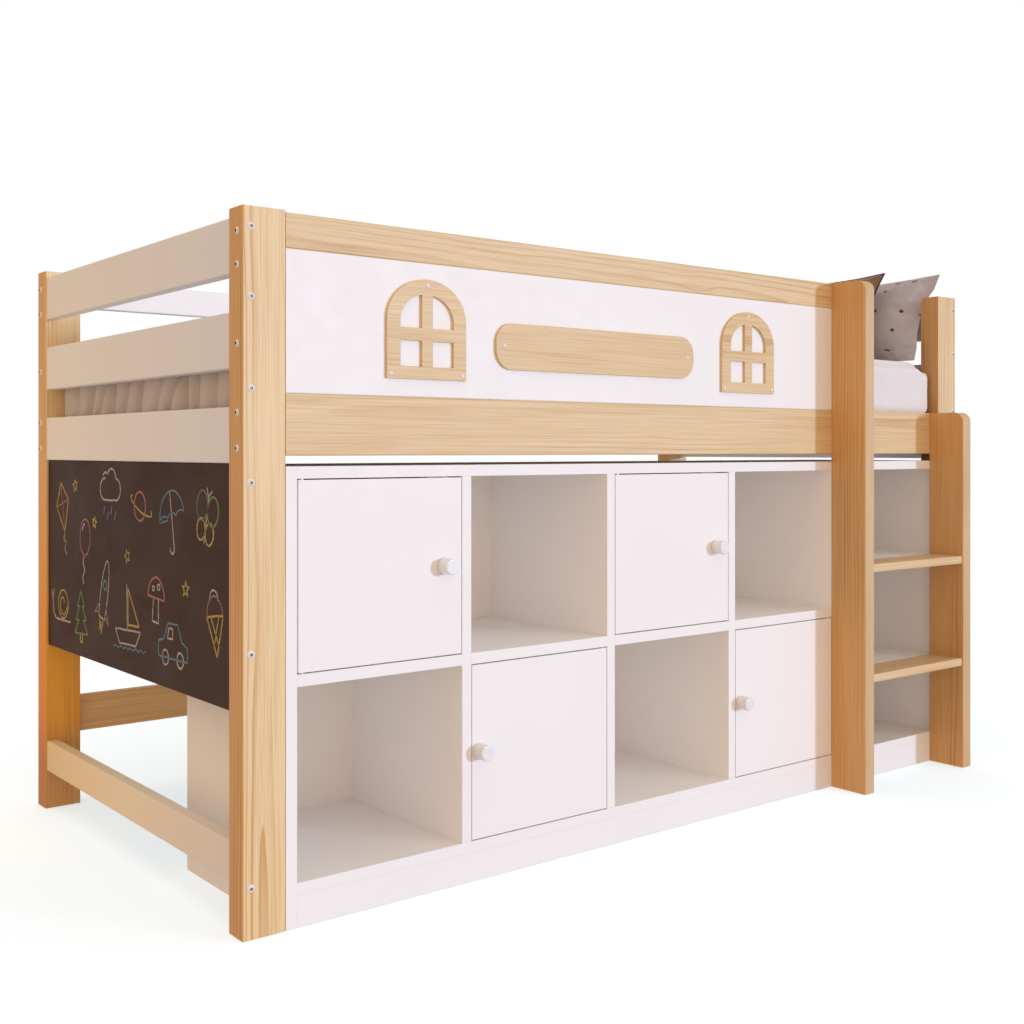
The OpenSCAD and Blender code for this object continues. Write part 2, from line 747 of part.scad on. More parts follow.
// Pin from the door up into the board over it; the collar fills the gap
module pivot_pin() {
    translate([0, 0, -pin_bite]) cylinder(d = pin_d, h = 2 * pin_bite + door_gap);
    cylinder(d = collar_d, h = door_gap - collar_clear);
}
module hinge_pins(i) {
    color(steel) {
        at_hinge(i, door_z(i)) mirror([0, 0, 1]) pivot_pin();
        at_hinge(i, door_z(i) + door_h) pivot_pin();
    }
}

// Turned knob on a short foot, and the screw that holds it from behind the door
module knob(i) {
    color(white) translate([knob_x(i), 0, knob_z(i)]) rotate([90, 0, 0]) difference() {
        rotate_extrude() {
            square([knob_base_d / 2, knob_base + eps]);
            translate([0, knob_base]) square([knob_d / 2, knob_l - knob_base - knob_round]);
            square([knob_d / 2 - knob_round, knob_l]);
            translate([knob_d / 2 - knob_round, knob_l - knob_round]) circle(knob_round, $fn = 32);
        }
        translate([0, 0, -eps])
            cylinder(d = knob_screw_d + 2 * bore_clear, h = knob_screw_bite + 1);
    }
}
module knob_screw(i) {
    color(steel) translate([knob_x(i), door_t, knob_z(i)]) rotate([-90, 0, 0])
        dome_screw(knob_screw_d, screw_head_d, screw_head_h, door_t + knob_screw_bite);
}

// Magnet catches behind the free edge of each door, under the board over it
module door_catches() {
    color(white) for (i = [0 : bays - 1])
        translate([hinge_x(i) + free_dir(i) * (door_w - pivot_in - catch_in) - catch_w / 2,
            door_t + catch_gap, door_z(i) + door_h + door_gap - catch_h])
            cube([catch_w, catch_d, catch_h]);
}

// Mattress under its fitted sheet, let in round the front posts
module mattress() {
    size = [mattress_l, mattress_w, mattress_t];
    color(linen) intersection() {
        translate([mattress_x, mattress_y, mattress_z]) intersection() {
            linear_extrude(size[2]) round_rect([size[0], size[1]], mattress_round);
            translate([0, size[1], 0]) rotate([90, 0, 0])
                linear_extrude(size[1]) round_rect([size[0], size[2]], mattress_round);
            rotate([90, 0, 90])
                linear_extrude(size[0]) round_rect([size[1], size[2]], mattress_round);
        }
        translate([0, 0, mattress_z - 1]) linear_extrude(size[2] + 2) difference() {
            square([bed_l, bed_d]);
            for (x = [0, inner_x - mattress_gap]) translate([x, 0])
                round_rect([post_w + mattress_gap, post_d + mattress_gap], mattress_gap);
        }
    }
}

// A stuffed case: a front and a rear crown that meet at a seam, with drawn-in sides.
// Its seam stands in the YZ plane with its foot on the Y axis; u and v run from -1 to 1.
function crown(u, v) = pow(max(0, (1 - u * u) * (1 - v * v)), crown_power);
function case_point(w, h, rise, u, v) = [
    rise * crown(u, v),
    w / 2 * (1 + u * (1 - drawn_in * (1 - v * v))),
    h / 2 * (1 + v * (1 - (v > 0 ? drawn_in * (1 - u * u) : 0)))];
module stuffed_case(w, h, front, rear) {
    nu = soft_cols;
    nv = soft_rows;
    grid = (nu + 1) * (nv + 1);
    u = [for (i = [0 : nu]) -cos(180 * i / nu)];
    v = [for (j = [0 : nv]) -cos(180 * j / nv)];
    points = concat([for (j = [0 : nv], i = [0 : nu]) case_point(w, h, -front, u[i], v[j])],
        [for (j = [0 : nv], i = [0 : nu]) case_point(w, h, rear, u[i], v[j])]);
    function at(j, i) = j * (nu + 1) + i;
    function back(j, i) = (j == 0 || j == nv || i == 0 || i == nu ? 0 : grid) + at(j, i);
    function turned(f) = [f[2], f[1], f[0]];
    // Each square is cut along the diagonal that runs away from the middle
    function halves(a, b, c, d, out) = out ? [[a, b, c], [a, c, d]] : [[a, b, d], [b, c, d]];
    cells = [for (j = [0 : nv - 1], i = [0 : nu - 1]) [j, i, (i < nu / 2) == (j < nv / 2)]];
    faces = [for (c = cells) let (j = c[0], i = c[1]) each concat(
        halves(at(j, i), at(j + 1, i), at(j + 1, i + 1), at(j, i + 1), c[2]),
        [for (f = halves(back(j, i), back(j + 1, i), back(j + 1, i + 1), back(j, i + 1), c[2]))
            turned(f)])];
    polyhedron(points, faces);
}
module pillow() {
    color(greige) translate([pillow_x, pillow_y, pillow_z]) rotate([0, lean, 0])
        stuffed_case(pillow_w, pillow_h, pillow_front, pillow_rear);
}
module cushion() {
    color(brown) translate([cushion_x, pillow_y + cushion_in, cushion_z])
        rotate([0, lean, 0]) stuffed_case(cushion_w, cushion_h, cushion_front, cushion_rear);
}

placed() post(CORNERS[0]);  // post_front_left
placed() post(CORNERS[1]);  // post_front_right
placed() post(CORNERS[2]);  // post_rear_left
placed() post(CORNERS[3]);  // post_rear_right
placed() front_side_rail();
placed() front_panel();
placed() front_top_rail();
placed() rear_side_rail();
placed() rear_guard_rail();
placed() rear_stretcher();
placed() end_rails_left();
placed() end_rails_right();
placed() stretcher_left();
placed() stretcher_right();
placed() chalkboard();
placed() window_left();
placed() window_right();
placed() plaque();
placed() trim_screws();
placed() stile_left();
placed() stile_right();
placed() ladder_treads();
placed() ladder_screws();
placed() slat_ledgers();
placed() slats();
placed() side_bolts();
placed() end_bolts();
placed() barrel_nuts();
placed() cabinet_side_left();
placed() cabinet_side_right();
placed() cabinet_top();
placed() cabinet_base();
placed() cabinet_plinths();
placed() cabinet_dividers();
placed() cabinet_shelves();
placed() ladder_bay_shelves();
placed() cabinet_back();
placed() door_catches();
placed() door(0);  // door_1
placed() door(1);  // door_2
placed() door(2);  // door_3
placed() door(3);  // door_4
placed() knob(0);  // knob_1
placed() knob(1);  // knob_2
placed() knob(2);  // knob_3
placed() knob(3);  // knob_4
placed() hinge_pins(0);  // hinge_pins_1
placed() hinge_pins(1);  // hinge_pins_2
placed() hinge_pins(2);  // hinge_pins_3
placed() hinge_pins(3);  // hinge_pins_4
placed() knob_screw(0);  // knob_screw_1
placed() knob_screw(1);  // knob_screw_2
placed() knob_screw(2);  // knob_screw_3
placed() knob_screw(3);  // knob_screw_4
placed() mattress();
placed() pillow();
placed() cushion();
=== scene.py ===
import math
import random

import bmesh
import bpy
import numpy as np
from mathutils import Matrix, Vector, noise


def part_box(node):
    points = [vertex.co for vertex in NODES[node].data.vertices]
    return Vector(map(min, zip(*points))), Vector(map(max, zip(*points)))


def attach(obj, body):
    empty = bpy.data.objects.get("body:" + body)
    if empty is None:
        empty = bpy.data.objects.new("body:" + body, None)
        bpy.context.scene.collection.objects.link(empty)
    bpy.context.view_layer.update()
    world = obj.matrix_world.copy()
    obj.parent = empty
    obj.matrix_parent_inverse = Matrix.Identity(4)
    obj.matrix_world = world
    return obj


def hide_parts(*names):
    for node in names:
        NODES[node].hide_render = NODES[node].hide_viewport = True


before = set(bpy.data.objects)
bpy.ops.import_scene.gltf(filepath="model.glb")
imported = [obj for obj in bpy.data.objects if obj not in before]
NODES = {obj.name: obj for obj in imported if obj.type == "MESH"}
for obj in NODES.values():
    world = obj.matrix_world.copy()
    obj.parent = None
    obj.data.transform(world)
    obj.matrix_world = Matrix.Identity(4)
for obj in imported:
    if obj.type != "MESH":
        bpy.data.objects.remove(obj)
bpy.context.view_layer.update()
SCENE = bpy.context.scene
# How far the pillow and the cushion lean back
LEAN = math.radians(26.7)


# ---------------------------------------------------------------- camera and light

# The view: place in metres, degrees to the right of straight ahead, focal length and sensor
# width in millimetres, and the vertical shift as a share of the picture's width
CAMERA_PLACE = (-1.86747, -2.24128, 0.76734)
CAMERA_TURN = 38.36
CAMERA_LENS = 44.18
CAMERA_SENSOR = 36.0
CAMERA_SHIFT = -0.0606


def make_camera():
    """The photograph's view: level camera, left of the bed and in front of it."""
    data = bpy.data.cameras.new("camera")
    data.sensor_width = CAMERA_SENSOR
    data.lens = CAMERA_LENS
    data.shift_y = CAMERA_SHIFT
    data.clip_start = 0.05
    data.clip_end = 60.0
    cam = bpy.data.objects.new("camera", data)
    cam.location = CAMERA_PLACE
    cam.rotation_euler = (math.radians(90), 0, math.radians(-CAMERA_TURN))
    SCENE.collection.objects.link(cam)
    SCENE.camera = cam


# Colour of the light from the low and from the high side of each axis
SIDE_LIGHT = (((0.77, 0.51, 0.29), (0.32, 0.35, 0.42)),
              ((0.77, 0.64, 0.53), (0.56, 0.54, 0.53)),
              ((0.28, 0.33, 0.42), (0.98, 0.85, 0.75)))


def make_world():
    """A soft glow from six sides, and plain white where the camera sees past the floor."""
    world = bpy.data.worlds.new("studio")
    world.use_nodes = True
    SCENE.world = world
    world.node_tree.nodes.clear()
    g = Graph(world.node_tree)
    axes = g.axes(g.add("ShaderNodeTexCoord").outputs["Generated"])
    black = (0, 0, 0, 1)
    light = black
    for axis, (low, high) in zip(axes, SIDE_LIGHT):
        side = g.mix(g.math("GREATER_THAN", axis, 0.0), (*low, 1), (*high, 1))
        light = g.mix(1.0, light, g.mix(g.math("MULTIPLY", axis, axis), black, side), "ADD")
    glow = g.add("ShaderNodeBackground", Color=light)
    white = g.add("ShaderNodeBackground", Color=(1, 1, 1, 1))
    shown = g.add("ShaderNodeMixShader", Fac=g.add("ShaderNodeLightPath").outputs["Is Camera Ray"])
    g.put(shown.inputs[1], glow.outputs[0])
    g.put(shown.inputs[2], white.outputs[0])
    g.put(g.add("ShaderNodeOutputWorld").inputs["Surface"], shown.outputs[0])


def make_lamp(name, kind, place, towards, energy, colour, **settings):
    """Adds a lamp; towards points from the bed to the light."""
    data = bpy.data.lights.new(name, kind)
    data.energy = energy
    data.color = colour
    for key, value in settings.items():
        setattr(data, key, value)
    lamp = bpy.data.objects.new(name, data)
    lamp.location = place
    lamp.rotation_euler = Vector(towards).to_track_quat("Z", "Y").to_euler()
    SCENE.collection.objects.link(lamp)


def make_lamps():
    """A cool key from the right, a faint warm fill from the left, and a glow by the left end."""
    overhead = (0, 0, 3)
    make_lamp("key", "SUN", overhead, (0.54, -0.84, 0.10), 1.56, (0.575, 0.745, 1.0),
              angle=math.radians(5))
    make_lamp("fill", "SUN", overhead, (-0.45, -0.88, 0.12), 0.20, (1.0, 0.45, 0.10),
              angle=math.radians(50))
    make_lamp("glow", "AREA", (-1.34, 0.36, 0.30), (-1, -0.2, 0.1), 0.22, (1.0, 0.45, 0.05),
              size=0.4)


# ---------------------------------------------------------------- shader helpers

class Graph:
    """Adds shader nodes to a tree; a value that is a socket is linked, any other is set."""

    def __init__(self, tree):
        self.tree = tree

    def put(self, socket, value):
        if isinstance(value, bpy.types.NodeSocket):
            self.tree.links.new(value, socket)
        else:
            socket.default_value = value

    def add(self, kind, settings=None, **inputs):
        node = self.tree.nodes.new(kind)
        for key, value in (settings or {}).items():
            setattr(node, key, value)
        for key, value in inputs.items():
            self.put(node.inputs[key.replace("_", " ")], value)
        return node

    def math(self, operation, *values):
        node = self.tree.nodes.new("ShaderNodeMath")
        node.operation = operation
        for socket, value in zip(node.inputs, values):
            self.put(socket, value)
        return node.outputs[0]

    def vector(self, operation, *values):
        node = self.tree.nodes.new("ShaderNodeVectorMath")
        node.operation = operation
        for socket, value in zip(node.inputs, values):
            self.put(socket, value)
        return node.outputs["Value" if operation == "LENGTH" else "Vector"]

    def scaled(self, vector, factors):
        return self.vector("MULTIPLY", vector, factors)

    def axes(self, vector):
        """The X, Y and Z of a vector."""
        return self.add("ShaderNodeSeparateXYZ", Vector=vector).outputs

    def noise(self, vector, scale=1.0, detail=2.0, roughness=0.5):
        node = self.add("ShaderNodeTexNoise", Vector=vector, Scale=scale, Detail=detail,
                        Roughness=roughness)
        return node.outputs["Fac"]

    def mix(self, factor, a, b, mode="MIX"):
        node = self.tree.nodes.new("ShaderNodeMix")
        node.data_type = "RGBA"
        node.blend_type = mode
        self.put(node.inputs[0], factor)
        self.put(node.inputs[6], a)
        self.put(node.inputs[7], b)
        return node.outputs[2]

    def ramp(self, factor, stops):
        node = self.tree.nodes.new("ShaderNodeValToRGB")
        self.put(node.inputs[0], factor)
        elements = node.color_ramp.elements
        while len(elements) < len(stops):
            elements.new(0.5)
        for element, (place, colour) in zip(elements, stops):
            element.position = place
            element.color = colour if len(colour) == 4 else (*colour, 1)
        return node.outputs["Color"]

    def spread(self, value, low, high, out_low, out_high):
        """Maps low to out_low and high to out_high, and holds the ends beyond them."""
        node = self.add("ShaderNodeMapRange", Value=value)
        for socket, limit in zip(node.inputs[1:5], (low, high, out_low, out_high)):
            socket.default_value = limit
        return node.outputs[0]


def grey(value):
    return (value, value, value, 1)


def new_material(name):
    """A material with a Principled shader, and the graph that its other nodes go into."""
    material = bpy.data.materials.new(name)
    material.use_nodes = True
    material.node_tree.nodes.clear()
    graph = Graph(material.node_tree)
    shader = graph.add("ShaderNodeBsdfPrincipled")
    out = graph.add("ShaderNodeOutputMaterial")
    graph.put(out.inputs["Surface"], shader.outputs[0])
    return material, graph, shader


def object_coords(graph):
    return graph.add("ShaderNodeTexCoord").outputs["Object"]


def object_normal(graph):
    """The X, Y and Z of the way that a face looks."""
    return graph.axes(graph.add("ShaderNodeTexCoord").outputs["Normal"])


def bump(graph, shader, height, distance, strength=1.0, normal=None):
    node = graph.add("ShaderNodeBump", Height=height, Distance=distance, Strength=strength)
    if normal is not None:
        graph.put(node.inputs["Normal"], normal)
    graph.put(shader.inputs["Normal"], node.outputs[0])


# ---------------------------------------------------------------- pine

# Distance from one fine growth line to the next, and from one bold one to the next, in metres
FINE_RING = 0.0019
BOLD_RING = 0.0085


def pine_group():
    """Growth rings round the Z axis of its coordinates, with fibres along it.

    Rings is the share of the streak colour, and Bold the share of the resin colour on it.
    """
    tree = bpy.data.node_groups.new("pine_grain", "ShaderNodeTree")
    tree.interface.new_socket("Vector", in_out="INPUT", socket_type="NodeSocketVector")
    for name in ("Rings", "Bold", "Fibre", "Blotch"):
        tree.interface.new_socket(name, in_out="OUTPUT", socket_type="NodeSocketFloat")
    g = Graph(tree)
    vector = tree.nodes.new("NodeGroupInput").outputs[0]
    drift = g.add("ShaderNodeTexNoise", Vector=g.scaled(vector, (3, 3, 1.3)), Scale=1.0, Detail=2.0)
    centred = g.vector("SUBTRACT", drift.outputs["Color"], (0.5, 0.5, 0.5))
    moved = g.vector("ADD", g.scaled(vector, (1, 1, 0)), g.scaled(centred, (0.022, 0.022, 0)))
    radius = g.vector("LENGTH", moved)
    wobble = g.math("MULTIPLY", g.noise(g.scaled(vector, (26, 26, 4)), detail=3), 0.0024)
    radius = g.math("ADD", radius, wobble)
    # The rings run round an eye in some of the cells, as they do round a knot below the surface
    cells = g.add("ShaderNodeTexVoronoi", Vector=g.scaled(vector, (19, 19, 4.6)), Scale=1.0)
    squared = g.math("POWER", cells.outputs["Distance"], 2.0)
    near = g.math("EXPONENT", g.math("MULTIPLY", squared, -26))
    pick = g.add("ShaderNodeSeparateColor", Color=cells.outputs["Color"]).outputs[0]
    eye = g.math("MULTIPLY", near, g.math("GREATER_THAN", pick, 0.55))
    radius = g.math("ADD", radius, g.math("MULTIPLY", eye, 0.0050))
    uneven = g.noise(g.add("ShaderNodeCombineXYZ", X=g.math("MULTIPLY", radius, 150)).outputs[0])
    ring = g.math("ADD", g.math("DIVIDE", radius, FINE_RING), g.math("MULTIPLY", uneven, 1.5))
    fine = g.ramp(g.math("FRACT", ring), [(0.0, grey(0.2)), (0.12, grey(0)), (0.55, grey(0.1)),
                                         (0.85, grey(1)), (1.0, grey(0.2))])
    year = g.math("ADD", g.math("DIVIDE", radius, BOLD_RING), uneven)
    bold = g.ramp(g.math("FRACT", year), [(0.0, grey(0)), (0.50, grey(0)), (0.88, grey(0.75)),
                                         (0.95, grey(1)), (0.99, grey(0))])
    patchy = g.spread(g.noise(g.scaled(vector, (14, 14, 1.4))), 0.42, 0.66, 0.05, 1.0)
    weight = g.spread(g.noise(g.scaled(vector, (9, 9, 1.1))), 0.35, 0.65, 0.10, 0.34)
    lines = g.spread(g.noise(g.scaled(vector, (760, 760, 3.6)), detail=2), 0.45, 0.72, 0, 0.62)
    rings = g.math("MAXIMUM", g.math("MULTIPLY", fine, weight), lines)
    rings = g.math("ADD", rings, g.math("MULTIPLY", eye, 0.12))
    bold = g.math("MULTIPLY", bold, patchy)
    fibre = g.noise(g.scaled(vector, (420, 420, 7)), detail=3, roughness=0.6)
    blotch = g.noise(g.scaled(vector, (14, 14, 1.6)), detail=3)
    out = tree.nodes.new("NodeGroupOutput")
    for socket, value in zip(out.inputs, (rings, bold, fibre, blotch)):
        g.put(socket, value)
    return tree


# Degrees that turn each axis of the grain to Z
TURN = {"x": (0, -90, 0), "y": (90, 0, 0), "z": (0, 0, 0)}
# Pale wood, streaks and resin: the colour, and what warm wood lacks of it
WOODS = (((0.80, 0.615, 0.36), (0, 0.12, 0.15)),
         ((0.59, 0.35, 0.115), (0, 0.07, 0.04)),
         ((0.55, 0.29, 0.075), (0, 0.04, 0)))
# What the colour is multiplied by on an upright's faces that look along X: painted shade, darker
# and redder sides
SIDE_SHADE = (0.93, 0.76, 0.56)
# Painted warm light and shade towards a post's foot: an orange glow low down and darker wood at the
# foot itself: height in metres, and the multiplier
FOOT_GLOW = ((0.00, (0.68, 0.48, 0.30)), (0.10, (0.70, 0.48, 0.24)), (0.20, (0.96, 0.60, 0.10)),
        (0.36, (1.03, 0.66, 0.10)), (0.56, (1.03, 0.86, 0.55)), (0.80, (1.0, 1.0, 1.0)))


def pine(name, node, along, group, seed, warm=0.0, foot=False, bold=0.7, side=None,
         shade=(1, 1, 1), side_shade=SIDE_SHADE):
    """Pine for one node: along is the grain's axis, and the pith lies outside the board.

    Side is how far the pith lies off the middle, shade multiplies the colours, side_shade
    multiplies them again on an upright's sides as painted shade, foot adds painted warm light and
    shade towards a post's foot, and bold is how much the bold rings show.
    """
    rng = random.Random(seed)
    material, g, shader = new_material(name)
    low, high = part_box(node)
    middle = (low + high) / 2
    turn = [math.radians(a) for a in TURN[along]]
    spin = Matrix.Rotation(turn[0], 3, "X") @ Matrix.Rotation(turn[1], 3, "Y")
    lean = (rng.uniform(0.15, 0.5) * rng.choice((-1, 1)), rng.uniform(-0.3, 0.3))
    tilt = (Matrix.Rotation(math.radians(lean[0]), 3, "X")
            @ Matrix.Rotation(math.radians(lean[1]), 3, "Y"))
    coords = object_coords(g)
    first = g.add("ShaderNodeMapping", Vector=coords)
    first.inputs["Location"].default_value = -(spin @ middle)
    first.inputs["Rotation"].default_value = turn
    second = g.add("ShaderNodeMapping", Vector=first.outputs[0])
    second.inputs["Rotation"].default_value = tilt.to_euler()
    pith = rng.uniform(0.030, 0.050)
    offset = rng.uniform(0.018, 0.034) * rng.choice((-1, 1)) if side is None else side
    face = {"x": (offset, pith), "y": (pith, offset), "z": (offset, pith)}[along]
    second.inputs["Location"].default_value = (*face, seed * 1.37)
    grain = g.tree.nodes.new("ShaderNodeGroup")
    grain.node_tree = group
    g.put(grain.inputs[0], second.outputs[0])
    rings, strong, fibre, blotch = grain.outputs
    pale, streak, resin = [
        (*((c - lack * warm) * k for c, lack, k in zip(wood, lacks, shade)), 1)
        for wood, lacks in WOODS]
    colour = g.mix(g.math("MULTIPLY", strong, bold), g.mix(rings, pale, streak), resin)
    if along == "z":
        # Painted shade: the faces that look along X are darker and redder
        across = g.spread(g.math("ABSOLUTE", object_normal(g)[0]), 0.6, 0.9, 0.0, 1.0)
        colour = g.mix(across, colour, g.mix(1.0, colour, (*side_shade, 1), "MULTIPLY"))
    # Painted warm light and shade by height, towards the post's foot
    if foot:
        colour = g.mix(1.0, colour, g.ramp(g.axes(coords)[2], FOOT_GLOW), "MULTIPLY")
    cloudy = g.ramp(blotch, [(0.3, (0.96, 0.93, 0.88)), (0.7, (1.02, 1.02, 1.03))])
    colour = g.mix(1.0, colour, cloudy, "MULTIPLY")
    thread = g.ramp(fibre, [(0.30, (0.90, 0.87, 0.83)), (0.55, (1, 1, 1)),
                            (0.8, (1.03, 1.02, 1.0))])
    colour = g.mix(0.85, colour, thread, "MULTIPLY")
    g.put(shader.inputs["Base Color"], colour)
    g.put(shader.inputs["Roughness"], g.spread(fibre, 0.3, 0.7, 0.40, 0.56))
    height = g.math("ADD", g.math("MULTIPLY", rings, -0.4), fibre)
    bump(g, shader, height, 0.0004, 0.5)
    return material


# ---------------------------------------------------------------- other finishes

# White paint at its dullest and at its cleanest, outside the cupboard and, brighter and warmer as
# painted light, inside it
PAINT = ((0.3, (0.895, 0.88, 0.885)), (0.7, (0.915, 0.905, 0.91)))
PAINT_INSIDE_LIT = ((0.3, (0.955, 0.925, 0.895)), (0.7, (0.97, 0.945, 0.915)))
# Painted warm light and shade on white paint, warmer towards the bed's rear: share of the depth,
# and the multiplier
RAILS_GLOW = ((0.0, (0.88, 0.913, 0.97)), (1.0, (1.0, 0.985, 0.93)))
STRETCHER_GLOW = ((0.0, (0.89, 0.833, 0.80)), (0.5, (0.967, 0.873, 0.674)),
                  (1.0, (0.868, 0.709, 0.42)))


def white_paint(name="white_paint", inside=0.0, edges=0.0, painted_glow=None):
    """Satin lacquer on board: fine orange peel, and edges broken by a millimetre.

    Inside is how far the paint is the brighter, warmer one of the cupboard's inside, which is
    painted light for the dim inside, and edges is the same for the faces that look forward.
    painted_glow is painted warm light and shade, changing from the bed's front to its rear.
    """
    material, g, shader = new_material(name)
    coords = object_coords(g)
    cloud = g.noise(coords, 2.2, 2)
    tint = g.ramp(cloud, PAINT)
    if inside:
        # Painted light: the cupboard's inside faces get the brighter, warmer paint
        share = g.spread(object_normal(g)[1], -0.9, -0.7, edges, inside)
        tint = g.mix(share, tint, g.ramp(cloud, PAINT_INSIDE_LIT))
    # Painted warm light and shade that changes from the bed's front to its rear
    if painted_glow:
        depth = g.spread(g.axes(coords)[1], -0.40, 0.45, 0.0, 1.0)
        tint = g.mix(1.0, tint, g.ramp(depth, painted_glow), "MULTIPLY")
    g.put(shader.inputs["Base Color"], tint)
    shader.inputs["Specular IOR Level"].default_value = 0.25
    g.put(shader.inputs["Roughness"], g.spread(g.noise(coords, 30, 3), 0.3, 0.7, 0.42, 0.52))
    edge = g.add("ShaderNodeBevel", {"samples": 4}, Radius=0.0009)
    bump(g, shader, g.noise(coords, 900, 2), 0.00012, 0.35, edge.outputs[0])
    return material


def chalkboard_paint():
    """Matt dark brown, with chalk dust left where it was wiped."""
    material, g, shader = new_material("chalkboard_paint")
    coords = object_coords(g)
    wiped = g.noise(g.scaled(coords, (1, 5, 14)), 1.0, 5, 0.62)
    cloud = g.noise(coords, 7, 4)
    dust = g.math("MULTIPLY", g.spread(wiped, 0.45, 0.72, 0.0, 0.5),
                  g.spread(cloud, 0.4, 0.7, 0.1, 1))
    g.put(shader.inputs["Base Color"],
          g.mix(dust, (0.046, 0.021, 0.013, 1), (0.105, 0.070, 0.056, 1)))
    shader.inputs["Specular IOR Level"].default_value = 0.14
    g.put(shader.inputs["Roughness"], g.spread(cloud, 0.3, 0.7, 0.42, 0.56))
    bump(g, shader, g.noise(coords, 1400, 2), 0.0001, 0.4)
    return material


def chalk(name, colour):
    """Dry chalk: the line breaks up where the board's grain lies low."""
    material, g, shader = new_material(name)
    coords = object_coords(g)
    grit = g.noise(coords, 900, 3, 0.7)
    shader.inputs["Roughness"].default_value = 0.95
    tint = tuple(0.75 * c for c in colour)
    g.put(shader.inputs["Base Color"],
          g.mix(g.spread(grit, 0.4, 0.6, 0, 1), (*tint, 1), (*colour, 1)))
    g.put(shader.inputs["Alpha"], g.spread(grit, 0.40, 0.56, 0.25, 1.0))
    return material


def metal(name, colour, metallic, roughness):
    """Plated metal, a little duller in patches."""
    material, g, shader = new_material(name)
    coords = object_coords(g)
    dull = tuple(0.86 * c for c in colour)
    g.put(shader.inputs["Base Color"],
          g.mix(g.spread(g.noise(coords, 160, 3), 0.4, 0.65, 0, 1), (*colour, 1), (*dull, 1)))
    shader.inputs["Metallic"].default_value = metallic
    g.put(shader.inputs["Roughness"],
          g.spread(g.noise(coords, 300, 2), 0.3, 0.7, roughness - 0.06, roughness + 0.08))
    bump(g, shader, g.noise(coords, 1200, 2), 0.00006, 0.3)
    return material


def bolt_white():
    """White lacquered steel, darkened by painted shade in the sockets and round the heads."""
    material, g, shader = new_material("white_metal")
    coords = object_coords(g)
    # Painted shade: dark where the occlusion is deep, in the sockets and round the heads
    painted_shade_ao = g.add("ShaderNodeAmbientOcclusion", {"samples": 8, "only_local": False},
                   Distance=0.0045)
    open_share = g.spread(painted_shade_ao.outputs["AO"], 0.52, 0.90, 0, 1)
    clean = g.mix(g.noise(coords, 300, 2), (0.80, 0.79, 0.78, 1), (0.86, 0.855, 0.85, 1))
    g.put(shader.inputs["Base Color"], g.mix(open_share, (0.07, 0.06, 0.05, 1), clean))
    g.put(shader.inputs["Roughness"], g.spread(g.noise(coords, 300, 2), 0.3, 0.7, 0.25, 0.38))
    bump(g, shader, g.noise(coords, 1200, 2), 0.00006, 0.3)
    return material


def plastic():
    """Satin white plastic with a thin clear coat."""
    material, g, shader = new_material("white_plastic")
    coords = object_coords(g)
    g.put(shader.inputs["Base Color"],
          g.ramp(g.noise(coords, 40, 2), [(0.3, (0.83, 0.82, 0.84)), (0.7, (0.87, 0.865, 0.88))]))
    g.put(shader.inputs["Roughness"], g.spread(g.noise(coords, 200, 2), 0.3, 0.7, 0.22, 0.32))
    shader.inputs["Coat Weight"].default_value = 0.3
    shader.inputs["Coat Roughness"].default_value = 0.12
    bump(g, shader, g.noise(coords, 700, 2), 0.00005, 0.3)
    return material


def weave(g, vector, pitch):
    """A plain weave's height: two crossing sets of threads."""
    axes = g.axes(g.scaled(vector, (1 / pitch,) * 3))
    waves = [g.math("SINE", g.math("MULTIPLY", s, math.tau)) for s in axes]
    over = g.math("MULTIPLY", waves[0], waves[1])
    return g.math("ADD", over, g.math("MULTIPLY", waves[2], g.math("ADD", waves[0], waves[1])))


def cloth(name, dark, light, pitch, turn=0.0, marks=False, ends=None):
    """Woven cloth: pitch is from thread to thread, and turn lays the weave in a leaning plane.

    Marks are printed on it, and ends multiplies the colour of the faces that look along the bed, as
    painted shade.
    """
    material, g, shader = new_material(name)
    turned = g.add("ShaderNodeMapping", Vector=object_coords(g))
    turned.inputs["Rotation"].default_value = (0, turn, 0)
    coords = turned.outputs[0]
    slub = g.noise(g.scaled(coords, (300, 300, 30)), 1, 3)
    slub_across = g.noise(g.scaled(coords, (300, 30, 300)), 1, 3)
    tone = g.math("MULTIPLY", g.math("ADD", slub, slub_across), 0.5)
    tone = g.math("ADD", g.math("MULTIPLY", tone, 0.6),
                  g.math("MULTIPLY", g.noise(coords, 9, 3), 0.4))
    colour = g.ramp(tone, [(0.35, dark), (0.65, light)])
    if marks:
        colour = g.mix(print_marks(g, coords), colour, (0.055, 0.045, 0.04, 1))
    if ends:
        # Painted shade on the faces that look along the bed
        end_face_shade = g.spread(g.math("ABSOLUTE", object_normal(g)[0]), 0.35, 0.75, 0.0, 1.0)
        colour = g.mix(end_face_shade, colour, g.mix(1.0, colour, (*ends, 1), "MULTIPLY"))
    g.put(shader.inputs["Base Color"], colour)
    g.put(shader.inputs["Roughness"], g.spread(slub, 0.3, 0.7, 0.78, 0.92))
    shader.inputs["Sheen Weight"].default_value = 0.25
    shader.inputs["Sheen Roughness"].default_value = 0.5
    height = g.math("ADD", g.math("MULTIPLY", weave(g, coords, pitch), 0.35), slub)
    bump(g, shader, height, 0.0004, 0.5)
    return material


